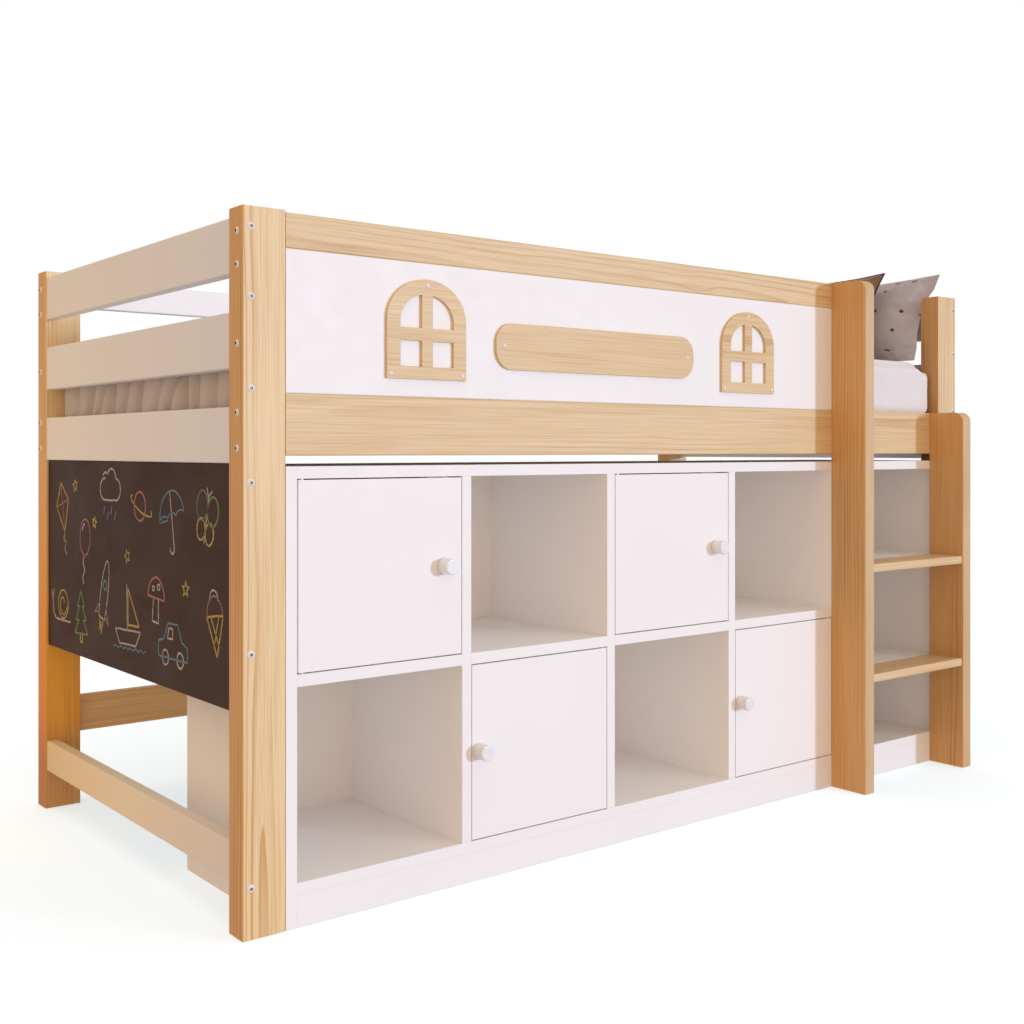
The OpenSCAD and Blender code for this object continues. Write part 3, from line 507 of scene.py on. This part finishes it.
def print_marks(g, coords):
    """Small scattered rings, dots, dashes and diamonds, one to a cell of an uneven grid."""
    axes = g.axes(coords)
    flat = g.add("ShaderNodeCombineXYZ", X=axes[1], Y=axes[2]).outputs[0]
    per_metre = 19.0
    cells = g.add("ShaderNodeTexVoronoi", {"voronoi_dimensions": "2D"}, Vector=flat,
                  Scale=per_metre, Randomness=0.72)
    offset = g.vector("SUBTRACT", g.scaled(flat, (per_metre,) * 3),
                      g.scaled(cells.outputs["Position"], (per_metre,) * 3))
    across, up, _ = g.axes(offset)
    across, up = g.math("ABSOLUTE", across), g.math("ABSOLUTE", up)
    kind = g.add("ShaderNodeSeparateColor", Color=cells.outputs["Color"]).outputs[0]
    ring = g.math("COMPARE", cells.outputs["Distance"], 0.084, 0.032)
    diamond = g.math("LESS_THAN", g.math("ADD", across, up), 0.105)
    dash = g.math("MULTIPLY", g.math("LESS_THAN", across, 0.11), g.math("LESS_THAN", up, 0.033))
    mark = 0.0
    for shape, middle in ((ring, 0.38), (diamond, 0.62), (dash, 0.84)):
        mark = g.math("ADD", mark, g.math("MULTIPLY", shape, g.math("COMPARE", kind, middle, 0.12)))
    return mark


# ---------------------------------------------------------------- mesh helpers

def new_object(name, mesh):
    obj = bpy.data.objects.new(name, mesh)
    SCENE.collection.objects.link(obj)
    return obj


def points_of(mesh):
    co = np.empty(len(mesh.vertices) * 3, np.float32)
    mesh.vertices.foreach_get("co", co)
    return co.reshape(-1, 3).astype(float)


def normals_of(mesh):
    co = np.empty(len(mesh.vertices) * 3, np.float32)
    mesh.vertex_normals.foreach_get("vector", co)
    return co.reshape(-1, 3).astype(float)


def set_points(mesh, points):
    mesh.vertices.foreach_set("co", points.astype(np.float32).ravel())
    mesh.update()


def modified(obj, kind, **settings):
    """Adds a modifier, and bakes it into the mesh."""
    modifier = obj.modifiers.new(kind.lower(), kind)
    for key, value in settings.items():
        setattr(modifier, key, value)
    bake(obj)


def bake(obj):
    graph = bpy.context.evaluated_depsgraph_get()
    mesh = bpy.data.meshes.new_from_object(obj.evaluated_get(graph))
    obj.modifiers.clear()
    obj.data = mesh


def shade_smooth(obj):
    obj.data.polygons.foreach_set("use_smooth", [True] * len(obj.data.polygons))


def paint(obj, material):
    obj.data.materials.clear()
    obj.data.materials.append(material)


def remeshed(node, name, voxel):
    """A copy of a CAD node's shape, in even faces of about one voxel's width."""
    mesh = NODES[node].data.copy()
    obj = new_object(name, mesh)
    mesh.materials.clear()
    modified(obj, "WELD", merge_threshold=1e-5)
    modified(obj, "REMESH", mode="VOXEL", voxel_size=voxel)
    return obj


def value_noise(points, scale, seed):
    shift = Vector((seed * 3.1, seed * 7.7, seed * 5.3))
    return np.array([noise.noise(Vector(p) * scale + shift) for p in points])


# ---------------------------------------------------------------- mattress

# The sheet's voxel
SHEET_VOXEL = 0.007
# Radius of the sheet's top edges, and of the ones where the front posts are let in
SHEET_EDGE = 0.030
NOTCH_EDGE = 0.052
# Gap between a front post and the mattress
NOTCH_GAP = 0.0025
# How far the mattress swells over the rail beside the ladder
SWELL = 0.012
# Depth of the sheet's folds at the left end and at the right end
FOLDS = ((-1, 0.024), (1, 0.010))


def round_edge(p, inward, away, top, radius):
    """Bends the sheet over one top edge: inward is each point's distance from the edge's wall."""
    drop = top - p[:, 2]
    over = drop < inward
    along = np.where(over, 1 - inward / radius, 1 + drop / radius) / 2
    depth = np.where(over, drop, inward)
    near = (along > 0) & (along < 1)
    turn = along * math.pi / 2
    new_inward = radius - (radius - depth) * np.sin(turn)
    new_drop = radius - (radius - depth) * np.cos(turn)
    p[near, :2] += ((new_inward - inward)[:, None] * away)[near]
    p[near, 2] = top - new_drop[near]


def round_edges(p, low, high):
    """Soft edges all round the top, and softer ones where the front posts are let in."""
    for axis, sign, wall in ((0, 1, low.x), (0, -1, high.x), (1, 1, low.y), (1, -1, high.y)):
        away = np.zeros((len(p), 2))
        away[:, axis] = sign
        round_edge(p, (p[:, axis] - wall) * sign, away, high.z, SHEET_EDGE)
    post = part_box("post_front_right")
    for inner, sign in ((post[0].x - NOTCH_GAP, 1), (-post[0].x + NOTCH_GAP, -1)):
        beside = np.maximum((inner - p[:, 0]) * sign, 0)
        behind = np.maximum(p[:, 1] - post[1].y - NOTCH_GAP, 0)
        inward = np.hypot(beside, behind)
        away = np.stack((-sign * beside, behind), axis=1) / np.maximum(inward, 1e-6)[:, None]
        round_edge(p, inward, away, high.z, NOTCH_EDGE)


def swell_front(p):
    """The mattress swells over the rail where the panel leaves it bare, beside the ladder."""
    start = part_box("front_panel")[1].x + 0.006
    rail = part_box("front_side_rail")[1]
    share = np.clip((p[:, 0] - start) / 0.08, 0, 1) * np.clip((p[:, 2] - rail.z) / 0.007, 0, 1)
    front = np.clip((rail.y + 0.030 - p[:, 1]) / 0.030, 0, 1)
    p[:, 1] -= SWELL * share * front


def lay_top(p, low, high):
    """The top falls a little towards its edges, and isn't quite even."""
    edge = np.minimum.reduce([p[:, 0] - low.x, high.x - p[:, 0], p[:, 1] - low.y, high.y - p[:, 1]])
    top = np.clip((p[:, 2] - low.z) / (high.z - low.z), 0, 1)
    crown = np.exp(-np.clip(edge, 0, 1) / 0.09)
    p[:, 2] -= 0.002 * crown * top ** 4
    p[:, 2] += 0.0016 * (value_noise(p, 5.5, 1) - 0.6) * top ** 4


def fold_ends(p, n, low, high):
    """Folds hang at both ends, each with its own width, slant and depth."""
    rng = random.Random(11)
    for side, depth in FOLDS:
        face = np.clip(n[:, 0] * side * 1.6 - 0.3, 0, 1)
        fold = np.zeros(len(p))
        y = low.y + 0.02
        while y < high.y - 0.02:
            width = rng.uniform(0.009, 0.018)
            slant = rng.uniform(-0.6, -0.1)
            deep = rng.uniform(0.45, 1.0)
            line = y + slant * (p[:, 2] - low.z) + 0.004 * np.sin(31 * p[:, 2] + 9 * y)
            fold += deep * np.exp(-((p[:, 1] - line) / width) ** 2)
            y += rng.uniform(0.050, 0.095)
        fade = np.clip((high.z - 0.012 - p[:, 2]) / 0.045, 0, 1)
        p[:, 0] -= side * depth * face * np.clip(fold, 0, 1.2) * fade


def ripple_sides(p, n):
    """The long sides are slightly wavy."""
    ripple = value_noise(p * np.array([9, 1, 2]), 3.0, 4)
    face = np.sign(n[:, 1]) * np.clip(np.abs(n[:, 1]) * 1.6 - 0.3, 0, 1)
    p[:, 1] -= face * 0.0035 * (ripple + 0.6)


def make_mattress(material):
    """The mattress under its sheet: soft edges, a low crown, and gathers at its ends."""
    obj = remeshed("mattress", "mattress_sheet", SHEET_VOXEL)
    modified(obj, "SMOOTH", factor=0.5, iterations=4)
    low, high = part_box("mattress")
    p = points_of(obj.data)
    round_edges(p, low, high)
    swell_front(p)
    set_points(obj.data, p)
    modified(obj, "SMOOTH", factor=0.5, iterations=4)
    p = points_of(obj.data)
    n = normals_of(obj.data)
    lay_top(p, low, high)
    fold_ends(p, n, low, high)
    ripple_sides(p, n)
    set_points(obj.data, np.clip(p, np.array(low) - np.array((0, SWELL, 0)), np.array(high)))
    shade_smooth(obj)
    paint(obj, material)
    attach(obj, "mattress")
    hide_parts("mattress")


# ---------------------------------------------------------------- pillow and cushion

# Directions of the seam plane of both cases: across the bed, up its slope, and out of its front
ACROSS = np.array((0.0, 1.0, 0.0))
UP = np.array((math.sin(LEAN), 0.0, math.cos(LEAN)))
FORWARD = np.array((-math.cos(LEAN), 0.0, math.sin(LEAN)))
# Time steps of the cloth, the case's voxel, and how far its sides are drawn in between corners
CLOTH_STEPS = 20
CASE_VOXEL = 0.005
DRAWN_IN = 0.08


def stuff(obj, rim, pressure, cap, slack):
    """Blows the case up as cloth, held along its seam, and limits how far a point may go."""
    group = obj.vertex_groups.new(name="seam")
    start = points_of(obj.data)
    for index in np.nonzero(rim)[0]:
        group.add([int(index)], 1.0, "REPLACE")
    cloth_modifier = obj.modifiers.new("cloth", "CLOTH")
    settings = cloth_modifier.settings
    settings.quality = 5
    settings.mass = 0.25
    settings.tension_stiffness = 12
    settings.compression_stiffness = 12
    settings.shear_stiffness = 4
    settings.bending_stiffness = 0.15
    settings.shrink_min = -slack
    settings.use_pressure = True
    settings.uniform_pressure_force = pressure
    settings.vertex_group_mass = "seam"
    settings.effector_weights.gravity = 0
    cloth_modifier.point_cache.frame_start = 1
    cloth_modifier.point_cache.frame_end = CLOTH_STEPS
    for step in range(1, CLOTH_STEPS + 1):
        SCENE.frame_set(step)
    bake(obj)
    SCENE.frame_set(1)
    move = points_of(obj.data) - start
    length = np.linalg.norm(move, axis=1)
    move *= np.minimum(1.0, cap / np.maximum(length, 1e-9))[:, None]
    set_points(obj.data, start + move)


def make_case(node, name, material, outline, slack):
    """A pillow or cushion: the CAD case stuffed as cloth, kept above what it lies on."""
    obj = remeshed(node, name, CASE_VOXEL)
    modified(obj, "SMOOTH", factor=0.5, iterations=3)
    low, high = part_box(node)
    set_points(obj.data, points_of(obj.data) - CASE_VOXEL / 2 * normals_of(obj.data))
    stuff(obj, rim_test(obj.data, seam_level(node)), pressure=4.0, cap=0.011, slack=slack)
    modified(obj, "SUBSURF", levels=1, render_levels=1)
    draw_to_seam(obj.data, outline, seam_level(node))
    p = points_of(obj.data)
    p[:, 2] = np.maximum(p[:, 2], low.z + 0.0002)
    highest = np.array(high) + np.array((0.0, 0.008, 0.004))
    set_points(obj.data, np.clip(p, np.array(low) - 0.008, highest))
    shade_smooth(obj)
    paint(obj, material)
    return obj


def highest_point(node):
    """The case's highest point, which lies on its seam."""
    raw = points_of(NODES[node].data)
    return raw[np.argmax(raw[:, 2])]


def seam_level(node):
    """How far forward the plane of a case's seam lies."""
    return float(highest_point(node) @ FORWARD)


def rim_test(mesh, level):
    """True at the points that lie on the rim, where the faces turn edge on."""
    return ((np.abs(points_of(mesh) @ FORWARD - level) < 0.006)
            & (np.abs(normals_of(mesh) @ FORWARD) < 0.75))


def polar(points, middle):
    """Angle and distance in the seam's plane, with the offsets across and up it."""
    across, up = (points - middle) @ ACROSS, (points - middle) @ UP
    return np.arctan2(up, across), np.hypot(across, up), across, up


def draw_to_seam(mesh, outline, level, bins=240):
    """Stretches the case out to its seam's line, corners and all, and pinches its rim thin."""
    p = points_of(mesh)
    line = np.array(outline)
    middle = line.mean(axis=0)
    line_turn, line_reach, _, _ = polar(line, middle)
    order = np.argsort(line_turn)
    turn, reach, across, up = polar(p, middle)
    want = np.interp(turn, line_turn[order], line_reach[order], period=math.tau)
    rim = np.zeros(bins)
    np.maximum.at(rim, ((turn + math.pi) / math.tau * bins).astype(int) % bins, reach)
    rim = (np.roll(rim, 1) + rim + np.roll(rim, -1)) / 3
    centres = (np.arange(bins) + 0.5) / bins * math.tau - math.pi
    have = np.interp(turn, centres, rim, period=math.tau)
    share = reach / have
    at_rim = np.clip((share - 0.93) / 0.045, 0, 1)
    share = np.clip(share + (1 - share) * at_rim, 0, 1)
    grow = want * share / reach - 1
    grow *= share ** 8
    p += grow[:, None] * (across[:, None] * ACROSS + up[:, None] * UP)
    off = p @ FORWARD - level
    pinch = 0.85 * np.clip((share - 0.88) / 0.12, 0, 1) ** 1.5
    p -= (off * pinch)[:, None] * FORWARD
    set_points(mesh, p)


def case_outline(node, width, height, near_in=DRAWN_IN, steps=120):
    """The seam's closed line as the CAD source draws it; near_in is for its near side."""
    foot_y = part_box(node)[0].y
    base = float(highest_point(node) @ UP) - height
    level = seam_level(node)
    line = []
    for side in range(4):
        inset = near_in if side == 3 else DRAWN_IN
        for k in range(steps):
            t = -math.cos(math.pi * k / steps)
            u, v = ((t, -1), (1, t), (-t, 1), (-1, -t))[side]
            y = width / 2 * (1 + u * (1 - inset * (1 - v * v)))
            s = height / 2 * (1 + v * (1 - (DRAWN_IN * (1 - u * u) if v > 0 else 0)))
            line.append(ACROSS * (foot_y + y) + UP * (base + s) + FORWARD * level)
    return line


def tube(name, path, radius, material, sides=8):
    """A closed round cord along path."""
    mesh = bmesh.new()
    angles = [math.tau * k / sides for k in range(sides)]
    rings = []
    count = len(path)
    for i, point in enumerate(path):
        ahead = Vector(path[(i + 1) % count]) - Vector(path[i - 1])
        ahead.normalize()
        first = ahead.cross(Vector((0.3, 0.1, 1))).normalized()
        second = ahead.cross(first)
        rings.append([mesh.verts.new(Vector(point)
                                     + radius * (math.cos(a) * first + math.sin(a) * second))
                      for a in angles])
    for i in range(count):
        here, there = rings[i], rings[(i + 1) % count]
        for k in range(sides):
            mesh.faces.new((here[k], here[(k + 1) % sides], there[(k + 1) % sides], there[k]))
    bmesh.ops.recalc_face_normals(mesh, faces=mesh.faces)
    data = bpy.data.meshes.new(name)
    mesh.to_mesh(data)
    mesh.free()
    obj = new_object(name, data)
    shade_smooth(obj)
    paint(obj, material)
    return obj


def widen_pillow(mesh, spare=0.010):
    """Lets the pillow's near end out past the back of the post, where it clears the post."""
    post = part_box("post_front_right")
    p = points_of(mesh)
    near = np.clip(1 - (p[:, 1] - p[:, 1].min()) / 0.16, 0, 1) ** 2
    left = np.clip((post[0].x - 0.003 - p[:, 0]) / 0.022, 0, 1)
    above = np.clip((p[:, 2] - post[1].z - 0.003) / 0.022, 0, 1)
    p[:, 1] -= spare * near * np.maximum(left, above)
    set_points(mesh, p)


def make_soft():
    """The sheet on the mattress, the pillow's case, and the cushion's case with its piping."""
    # The sheet's ends are darker: painted shade on the mattress's end faces
    sheet = cloth("sheet_cloth", (0.80, 0.78, 0.81), (0.86, 0.85, 0.89), 0.0011,
                  ends=(0.70, 0.66, 0.62))
    make_mattress(sheet)
    pillow_cloth = cloth("pillow_linen", (0.40, 0.385, 0.445), (0.50, 0.49, 0.575), 0.0014,
                         turn=-LEAN, marks=True)
    outline = case_outline("pillow", 0.460, 0.251, near_in=0.03)
    pillow = make_case("pillow", "pillow_case", pillow_cloth, outline, slack=0.05)
    widen_pillow(pillow.data)
    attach(pillow, "pillow")
    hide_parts("pillow")
    cushion_cloth = cloth("cushion_linen", (0.17, 0.105, 0.062), (0.26, 0.17, 0.105), 0.0016,
                          turn=-LEAN)
    outline = case_outline("cushion", 0.350, 0.252)
    cushion = make_case("cushion", "cushion_case", cushion_cloth, outline, slack=0.04)
    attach(cushion, "cushion")
    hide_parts("cushion")
    black = cloth("piping_cotton", (0.012, 0.011, 0.010), (0.028, 0.025, 0.022), 0.0012)
    piping = tube("cushion_piping", outline[::3], 0.0021, black)
    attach(piping, "cushion")


# ---------------------------------------------------------------- chalk drawings

# Each drawing is a list of strokes, a chalk's name and its points, in a square of side 1.

def arc(cx, cy, rx, ry, start, end, count=18):
    return [(cx + rx * math.cos(math.radians(start + (end - start) * k / count)),
             cy + ry * math.sin(math.radians(start + (end - start) * k / count)))
            for k in range(count + 1)]


def boat():
    return [("white", [(0, .3), (.15, .08), (.8, .08), (1, .3), (0, .3)]),
            ("white", [(.48, .3), (.48, 1)]),
            ("yellow", [(.52, .95), (.95, .38), (.52, .38), (.52, .95)]),
            ("blue", [(-.1, 0)] + [(x / 10 - .1, .04 * (x % 2)) for x in range(1, 14)])]


def rocket():
    return [("white", arc(.5, .35, .17, .65, -40, 220)), ("white", [(.37, -.06), (.63, -.06)]),
            ("blue", arc(.5, .55, .08, .08, 0, 360)),
            ("pink", [(.35, .2), (.16, -.08), (.37, .02)]),
            ("pink", [(.65, .2), (.84, -.08), (.63, .02)]),
            ("yellow", [(.42, -.1), (.45, -.3), (.5, -.14), (.55, -.34), (.58, -.1)])]


def cloud():
    drops = ((.25, 0), (.42, .1), (.58, 0), (.75, .08))
    return [("white", arc(.25, .62, .2, .18, 80, 270, 12) + arc(.75, .62, .2, .18, -90, 90, 12)
             + arc(.55, .78, .2, .18, 20, 150, 10) + arc(.3, .78, .14, .12, 60, 150, 8))] + [
        ("blue", [(x, .34 - d), (x - .05, .2 - d)]) for x, d in drops]


def kite():
    return [("yellow", [(.5, 1), (.82, .62), (.5, .1), (.18, .62), (.5, 1)]),
            ("pink", [(.5, 1), (.5, .1)]), ("pink", [(.18, .62), (.82, .62)]),
            ("white", [(.5, .1), (.42, 0), (.52, -.1), (.42, -.2), (.5, -.32)]),
            ("pink", [(.38, -.02), (.48, .02)]), ("pink", [(.46, -.14), (.56, -.1)])]


def fir():
    return [("green", [(.5, 1), (.3, .68), (.42, .68), (.2, .4), (.38, .4), (.12, .12), (.88, .12),
                       (.62, .4), (.8, .4), (.58, .68), (.7, .68), (.5, 1)]),
            ("yellow", [(.44, .12), (.44, -.05), (.56, -.05), (.56, .12)])]


def planet():
    return [("pink", arc(.5, .5, .27, .27, 0, 360, 26)),
            ("yellow", [(x * .94 + y * .3, y * .94 - x * .3 + .18) for x, y in
                        arc(.44, .5, .52, .12, 150, 390, 26)])]


def snail():
    spiral = [(.55 + (.04 + .028 * k) * math.cos(k * .62),
               .45 + (.04 + .028 * k) * math.sin(k * .62)) for k in range(9)]
    return [("yellow", spiral + arc(.55, .42, .3, .3, 0, 360, 22)),
            ("white", [(1.0, .08), (.1, .08), (-.05, .22), (-.1, .5)]),
            ("white", [(-.1, .5), (-.2, .66)]), ("white", [(-.08, .5), (-.02, .7)])]


def balloon():
    return [("pink", arc(.5, .66, .26, .33, 0, 360, 26)), ("pink", [(.46, .32), (.54, .32)]),
            ("white", [(.5, .32), (.44, .2), (.55, .06), (.46, -.08), (.52, -.2)]),
            ("white", arc(.5, .68, .17, .22, 100, 160, 6))]


def umbrella():
    return [("blue", arc(.5, .5, .45, .42, 0, 180, 22)),
            ("blue", arc(.2, .5, .15, .08, 0, 180, 8) + arc(.5, .5, .15, .08, 180, 0, 8)
             + arc(.8, .5, .15, .08, 180, 0, 8)),
            ("white", [(.5, .92), (.5, .08)] + arc(.42, .08, .08, .1, 0, -180, 8))]


def mushroom():
    return [("pink", arc(.5, .5, .42, .42, 0, 180, 20) + [(.92, .5)]),
            ("white", [(.38, .5), (.34, 0), (.66, 0), (.62, .5)]),
            ("white", arc(.36, .68, .06, .05, 0, 360, 10)),
            ("white", arc(.62, .74, .07, .06, 0, 360, 10))]


def cone():
    return [("yellow", [(.22, .55), (.5, -.05), (.78, .55), (.22, .55)]),
            ("yellow", [(.36, .55), (.58, .12)]), ("yellow", [(.64, .55), (.42, .12)]),
            ("pink", arc(.5, .55, .27, .3, 0, 180, 16)),
            ("white", arc(.5, .8, .14, .14, -10, 190, 10))]


def car():
    return [("blue", [(0, .2), (0, .42), (.2, .46), (.34, .7), (.68, .7), (.82, .46), (1, .4),
                      (1, .2), (0, .2)]),
            ("white", arc(.24, .2, .11, .11, 0, 360, 16)),
            ("white", arc(.76, .2, .11, .11, 0, 360, 16)),
            ("white", [(.38, .63), (.32, .48), (.5, .48), (.5, .63), (.38, .63)])]


def butterfly():
    return [("green", arc(.3, .68, .2, .24, 0, 360, 18)),
            ("green", arc(.7, .68, .2, .24, 0, 360, 18)),
            ("yellow", arc(.34, .3, .15, .18, 0, 360, 16)),
            ("yellow", arc(.66, .3, .15, .18, 0, 360, 16)),
            ("white", [(.5, .1), (.5, .86)]),
            ("white", [(.5, .86), (.4, 1)]), ("white", [(.5, .86), (.6, 1)])]


def star():
    reach = [.5 if k % 2 == 0 else .2 for k in range(11)]
    return [("yellow", [(.5 + r * math.sin(math.pi * k / 5), .5 + r * math.cos(math.pi * k / 5))
                        for k, r in enumerate(reach)])]


# Each drawing: metres from the board's rear edge and up from its foot, size and degrees of turn
DRAWINGS = [
    (kite, .035, .235, .100, 14), (snail, .040, .055, .085, 0), (star, .150, .330, .026, 10),
    (balloon, .165, .170, .095, -6), (fir, .150, .035, .085, 3), (star, .262, .262, .022, -12),
    (rocket, .275, .095, .095, -16), (cloud, .300, .270, .100, 0), (boat, .385, .045, .105, 2),
    (star, .430, .205, .024, 20), (planet, .455, .265, .085, 0),
    (mushroom, .535, .110, .075, -4), (umbrella, .590, .240, .100, 12),
    (car, .590, .030, .105, 1), (star, .690, .165, .026, 0), (butterfly, .735, .250, .090, -14),
    (cone, .765, .085, .095, 8)]
# What the sizes above are multiplied by
DRAWING_SCALE = 1.16
CHALKS = {"white": (0.62, 0.60, 0.57), "yellow": (0.66, 0.52, 0.16), "pink": (0.58, 0.26, 0.25),
          "green": (0.22, 0.42, 0.20), "blue": (0.18, 0.36, 0.50)}
# Distance between the points of a line, and from the chalk to the board
CHALK_STEP = 0.004
CHALK_PROUD = 0.0002


def smooth_line(points):
    """The line with points added along it."""
    dense = []
    for a, b in zip(points, points[1:]):
        steps = max(1, int(math.dist(a, b) / CHALK_STEP))
        dense += [(a[0] + (b[0] - a[0]) * k / steps, a[1] + (b[1] - a[1]) * k / steps)
                  for k in range(steps)]
    return dense + [points[-1]]


def make_chalk():
    """Hand-drawn lines on the board, one object to a colour."""
    low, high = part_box("chalkboard")
    meshes = {name: bmesh.new() for name in CHALKS}
    rng = random.Random(23)
    for drawing, across, height, size, turn in DRAWINGS:
        size *= DRAWING_SCALE
        c, s = math.cos(math.radians(turn)), math.sin(math.radians(turn))
        for colour, stroke in drawing():
            placed = [(across + size * (c * (x - .5) - s * (y - .5)) + size / 2,
                       height + size * (s * (x - .5) + c * (y - .5)) + size / 2) for x, y in stroke]
            ribbon(meshes[colour], smooth_line(placed), low, high, rng)
    for name, mesh in meshes.items():
        data = bpy.data.meshes.new("chalk_" + name)
        mesh.to_mesh(data)
        mesh.free()
        obj = new_object("chalk_" + name, data)
        paint(obj, chalk("chalk_" + name, CHALKS[name]))
        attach(obj, "bed")


def ribbon(mesh, line, low, high, rng):
    """A flat ribbon along the line, with a hand's slight unsteadiness."""
    half = rng.uniform(0.0014, 0.0021)
    sides = []
    for i, (across, up) in enumerate(line):
        ahead = Vector(line[min(i + 1, len(line) - 1)]) - Vector(line[max(i - 1, 0)])
        if ahead.length < 1e-9:
            continue
        ahead.normalize()
        wander = 0.0008 * noise.noise(Vector((across * 60, up * 60, half * 9000)))
        across, up = across + wander, up - wander
        w = half * rng.uniform(0.8, 1.15)
        pair = []
        for s in (-w, w):
            y = high.y - (across - s * ahead.y)
            z = low.z + up + s * ahead.x
            pair.append(mesh.verts.new((low.x - CHALK_PROUD, y, z)))
        sides.append(pair)
    for a, b in zip(sides, sides[1:]):
        mesh.faces.new((a[0], a[1], b[1], b[0]))


# ---------------------------------------------------------------- finishes on the CAD nodes

# Pine nodes, and the axis that the grain runs along
PINE = {"post_front_left": "z", "post_front_right": "z", "post_rear_left": "z",
        "post_rear_right": "z", "front_side_rail": "x", "front_top_rail": "x",
        "rear_side_rail": "x", "rear_stretcher": "x", "stile_left": "z", "stile_right": "z",
        "ladder_treads": "x", "window_left": "x", "window_right": "x", "plaque": "x",
        "slat_ledgers": "x", "slats": "y"}
# Pine that is not like the rest: redder, darker, brighter as painted light, with painted warm light
# and shade towards a post's foot, with side faces in stronger painted shade, or with bolder grain
STILE = {"bold": 1.0, "warm": 0.15, "shade": (0.88, 0.85, 0.83), "side_shade": (1.04, 0.87, 0.65)}
TRIM = {"shade": (0.97, 0.95, 0.91)}
ODD = {"rear_stretcher": {"warm": 0.9}, "window_left": TRIM, "window_right": TRIM, "plaque": TRIM,
       # The rear left post is brightened all over: painted light on its upper front, which lies in
       # shadow
       "post_rear_left": {"foot": True, "shade": (1.10, 1.12, 1.12)},
       "post_front_left": {"bold": 1.0, "side": 0.004, "shade": (1.09, 1.10, 1.10),
                           "side_shade": (0.85, 0.69, 0.50)},
       "stile_left": STILE, "stile_right": STILE,
       # The front right post's side faces are darker still: painted shade from the mattress and
       # pillow
       "post_front_right": {"warm": 0.05, "side_shade": (0.72, 0.58, 0.44)}}


# Finishes of the nodes that are neither pine nor plain white, by how their names start
FINISHES = (("chalkboard", "board"), ("stretcher_left", "stretcher"), ("end_rails_left", "rails"),
            ("cabinet_back", "back"), ("cabinet_shelves", "inner"),
            ("ladder_bay_shelves", "inner"), ("cabinet_base", "inner"),
            ("cabinet_dividers", "inner"), ("side_bolts", "bolt"), ("end_bolts", "bolt"),
            ("trim_screws", "bolt"), ("knob_screw", "zinc"), ("hinge", "zinc"),
            ("ladder_screws", "zinc"), ("barrel_nuts", "zinc"), ("knob", "plastic"),
            ("door_catches", "plastic"))
SOFT = ("mattress", "pillow", "cushion")


def dress_nodes():
    """Gives each rigid node its finish."""
    group = pine_group()
    shared = {"white": white_paint(),
              # The left stretcher and end rails get painted warm light towards the bed's rear
              "stretcher": white_paint("white_paint_stretcher_glow", painted_glow=STRETCHER_GLOW),
              "rails": white_paint("white_paint_rails_glow", painted_glow=RAILS_GLOW),
              # The cupboard's backing and inside get painted light, as a brighter, warmer white
              "back": white_paint("white_backing_painted_light", inside=1.0, edges=1.0),
              "inner": white_paint("white_inside_painted_light", inside=1.0),
              "board": chalkboard_paint(), "plastic": plastic(), "bolt": bolt_white(),
              "zinc": metal("zinc_plate", (0.62, 0.63, 0.65), 0.9, 0.35)}
    for seed, (name, node) in enumerate(sorted(NODES.items())):
        if name in SOFT:
            continue
        if name in PINE:
            material = pine("pine_" + name, name, PINE[name], group, seed + 1,
                            **ODD.get(name, {}))
        else:
            found = [finish for start, finish in FINISHES if name.startswith(start)]
            material = shared[found[0] if found else "white"]
        paint(node, material)


# ---------------------------------------------------------------- stage

# Half the floor's width, and how far it lies under the bed
FLOOR_REACH = 14
FLOOR_DROP = 0.0005


def make_floor():
    """A plain pale floor that fades into the white behind it and throws no light on the bed."""
    mesh = bpy.data.meshes.new("floor")
    size = FLOOR_REACH
    mesh.from_pydata([(-size, -size, 0), (size, -size, 0), (size, size, 0), (-size, size, 0)], [],
                     [(0, 1, 2, 3)])
    floor = new_object("floor", mesh)
    material, g, shader = new_material("floor_pale")
    g.put(shader.inputs["Base Color"],
          g.ramp(g.noise(object_coords(g), 1.5, 2), [(0.3, (0.72, 0.78, 0.80)),
                                                     (0.7, (0.74, 0.80, 0.82))]))
    shader.inputs["Roughness"].default_value = 0.8
    shader.inputs["Specular IOR Level"].default_value = 0.1
    shader.inputs["Emission Color"].default_value = (0.80, 0.92, 1, 1)
    shader.inputs["Emission Strength"].default_value = 0.56
    paint(floor, material)
    floor.location.z = -FLOOR_DROP
    floor.visible_diffuse = False
    floor.visible_glossy = False
    floor.visible_shadow = False


SCENE.view_settings.view_transform = "Standard"
make_camera()
make_world()
make_lamps()
make_floor()
dress_nodes()
make_soft()
make_chalk()
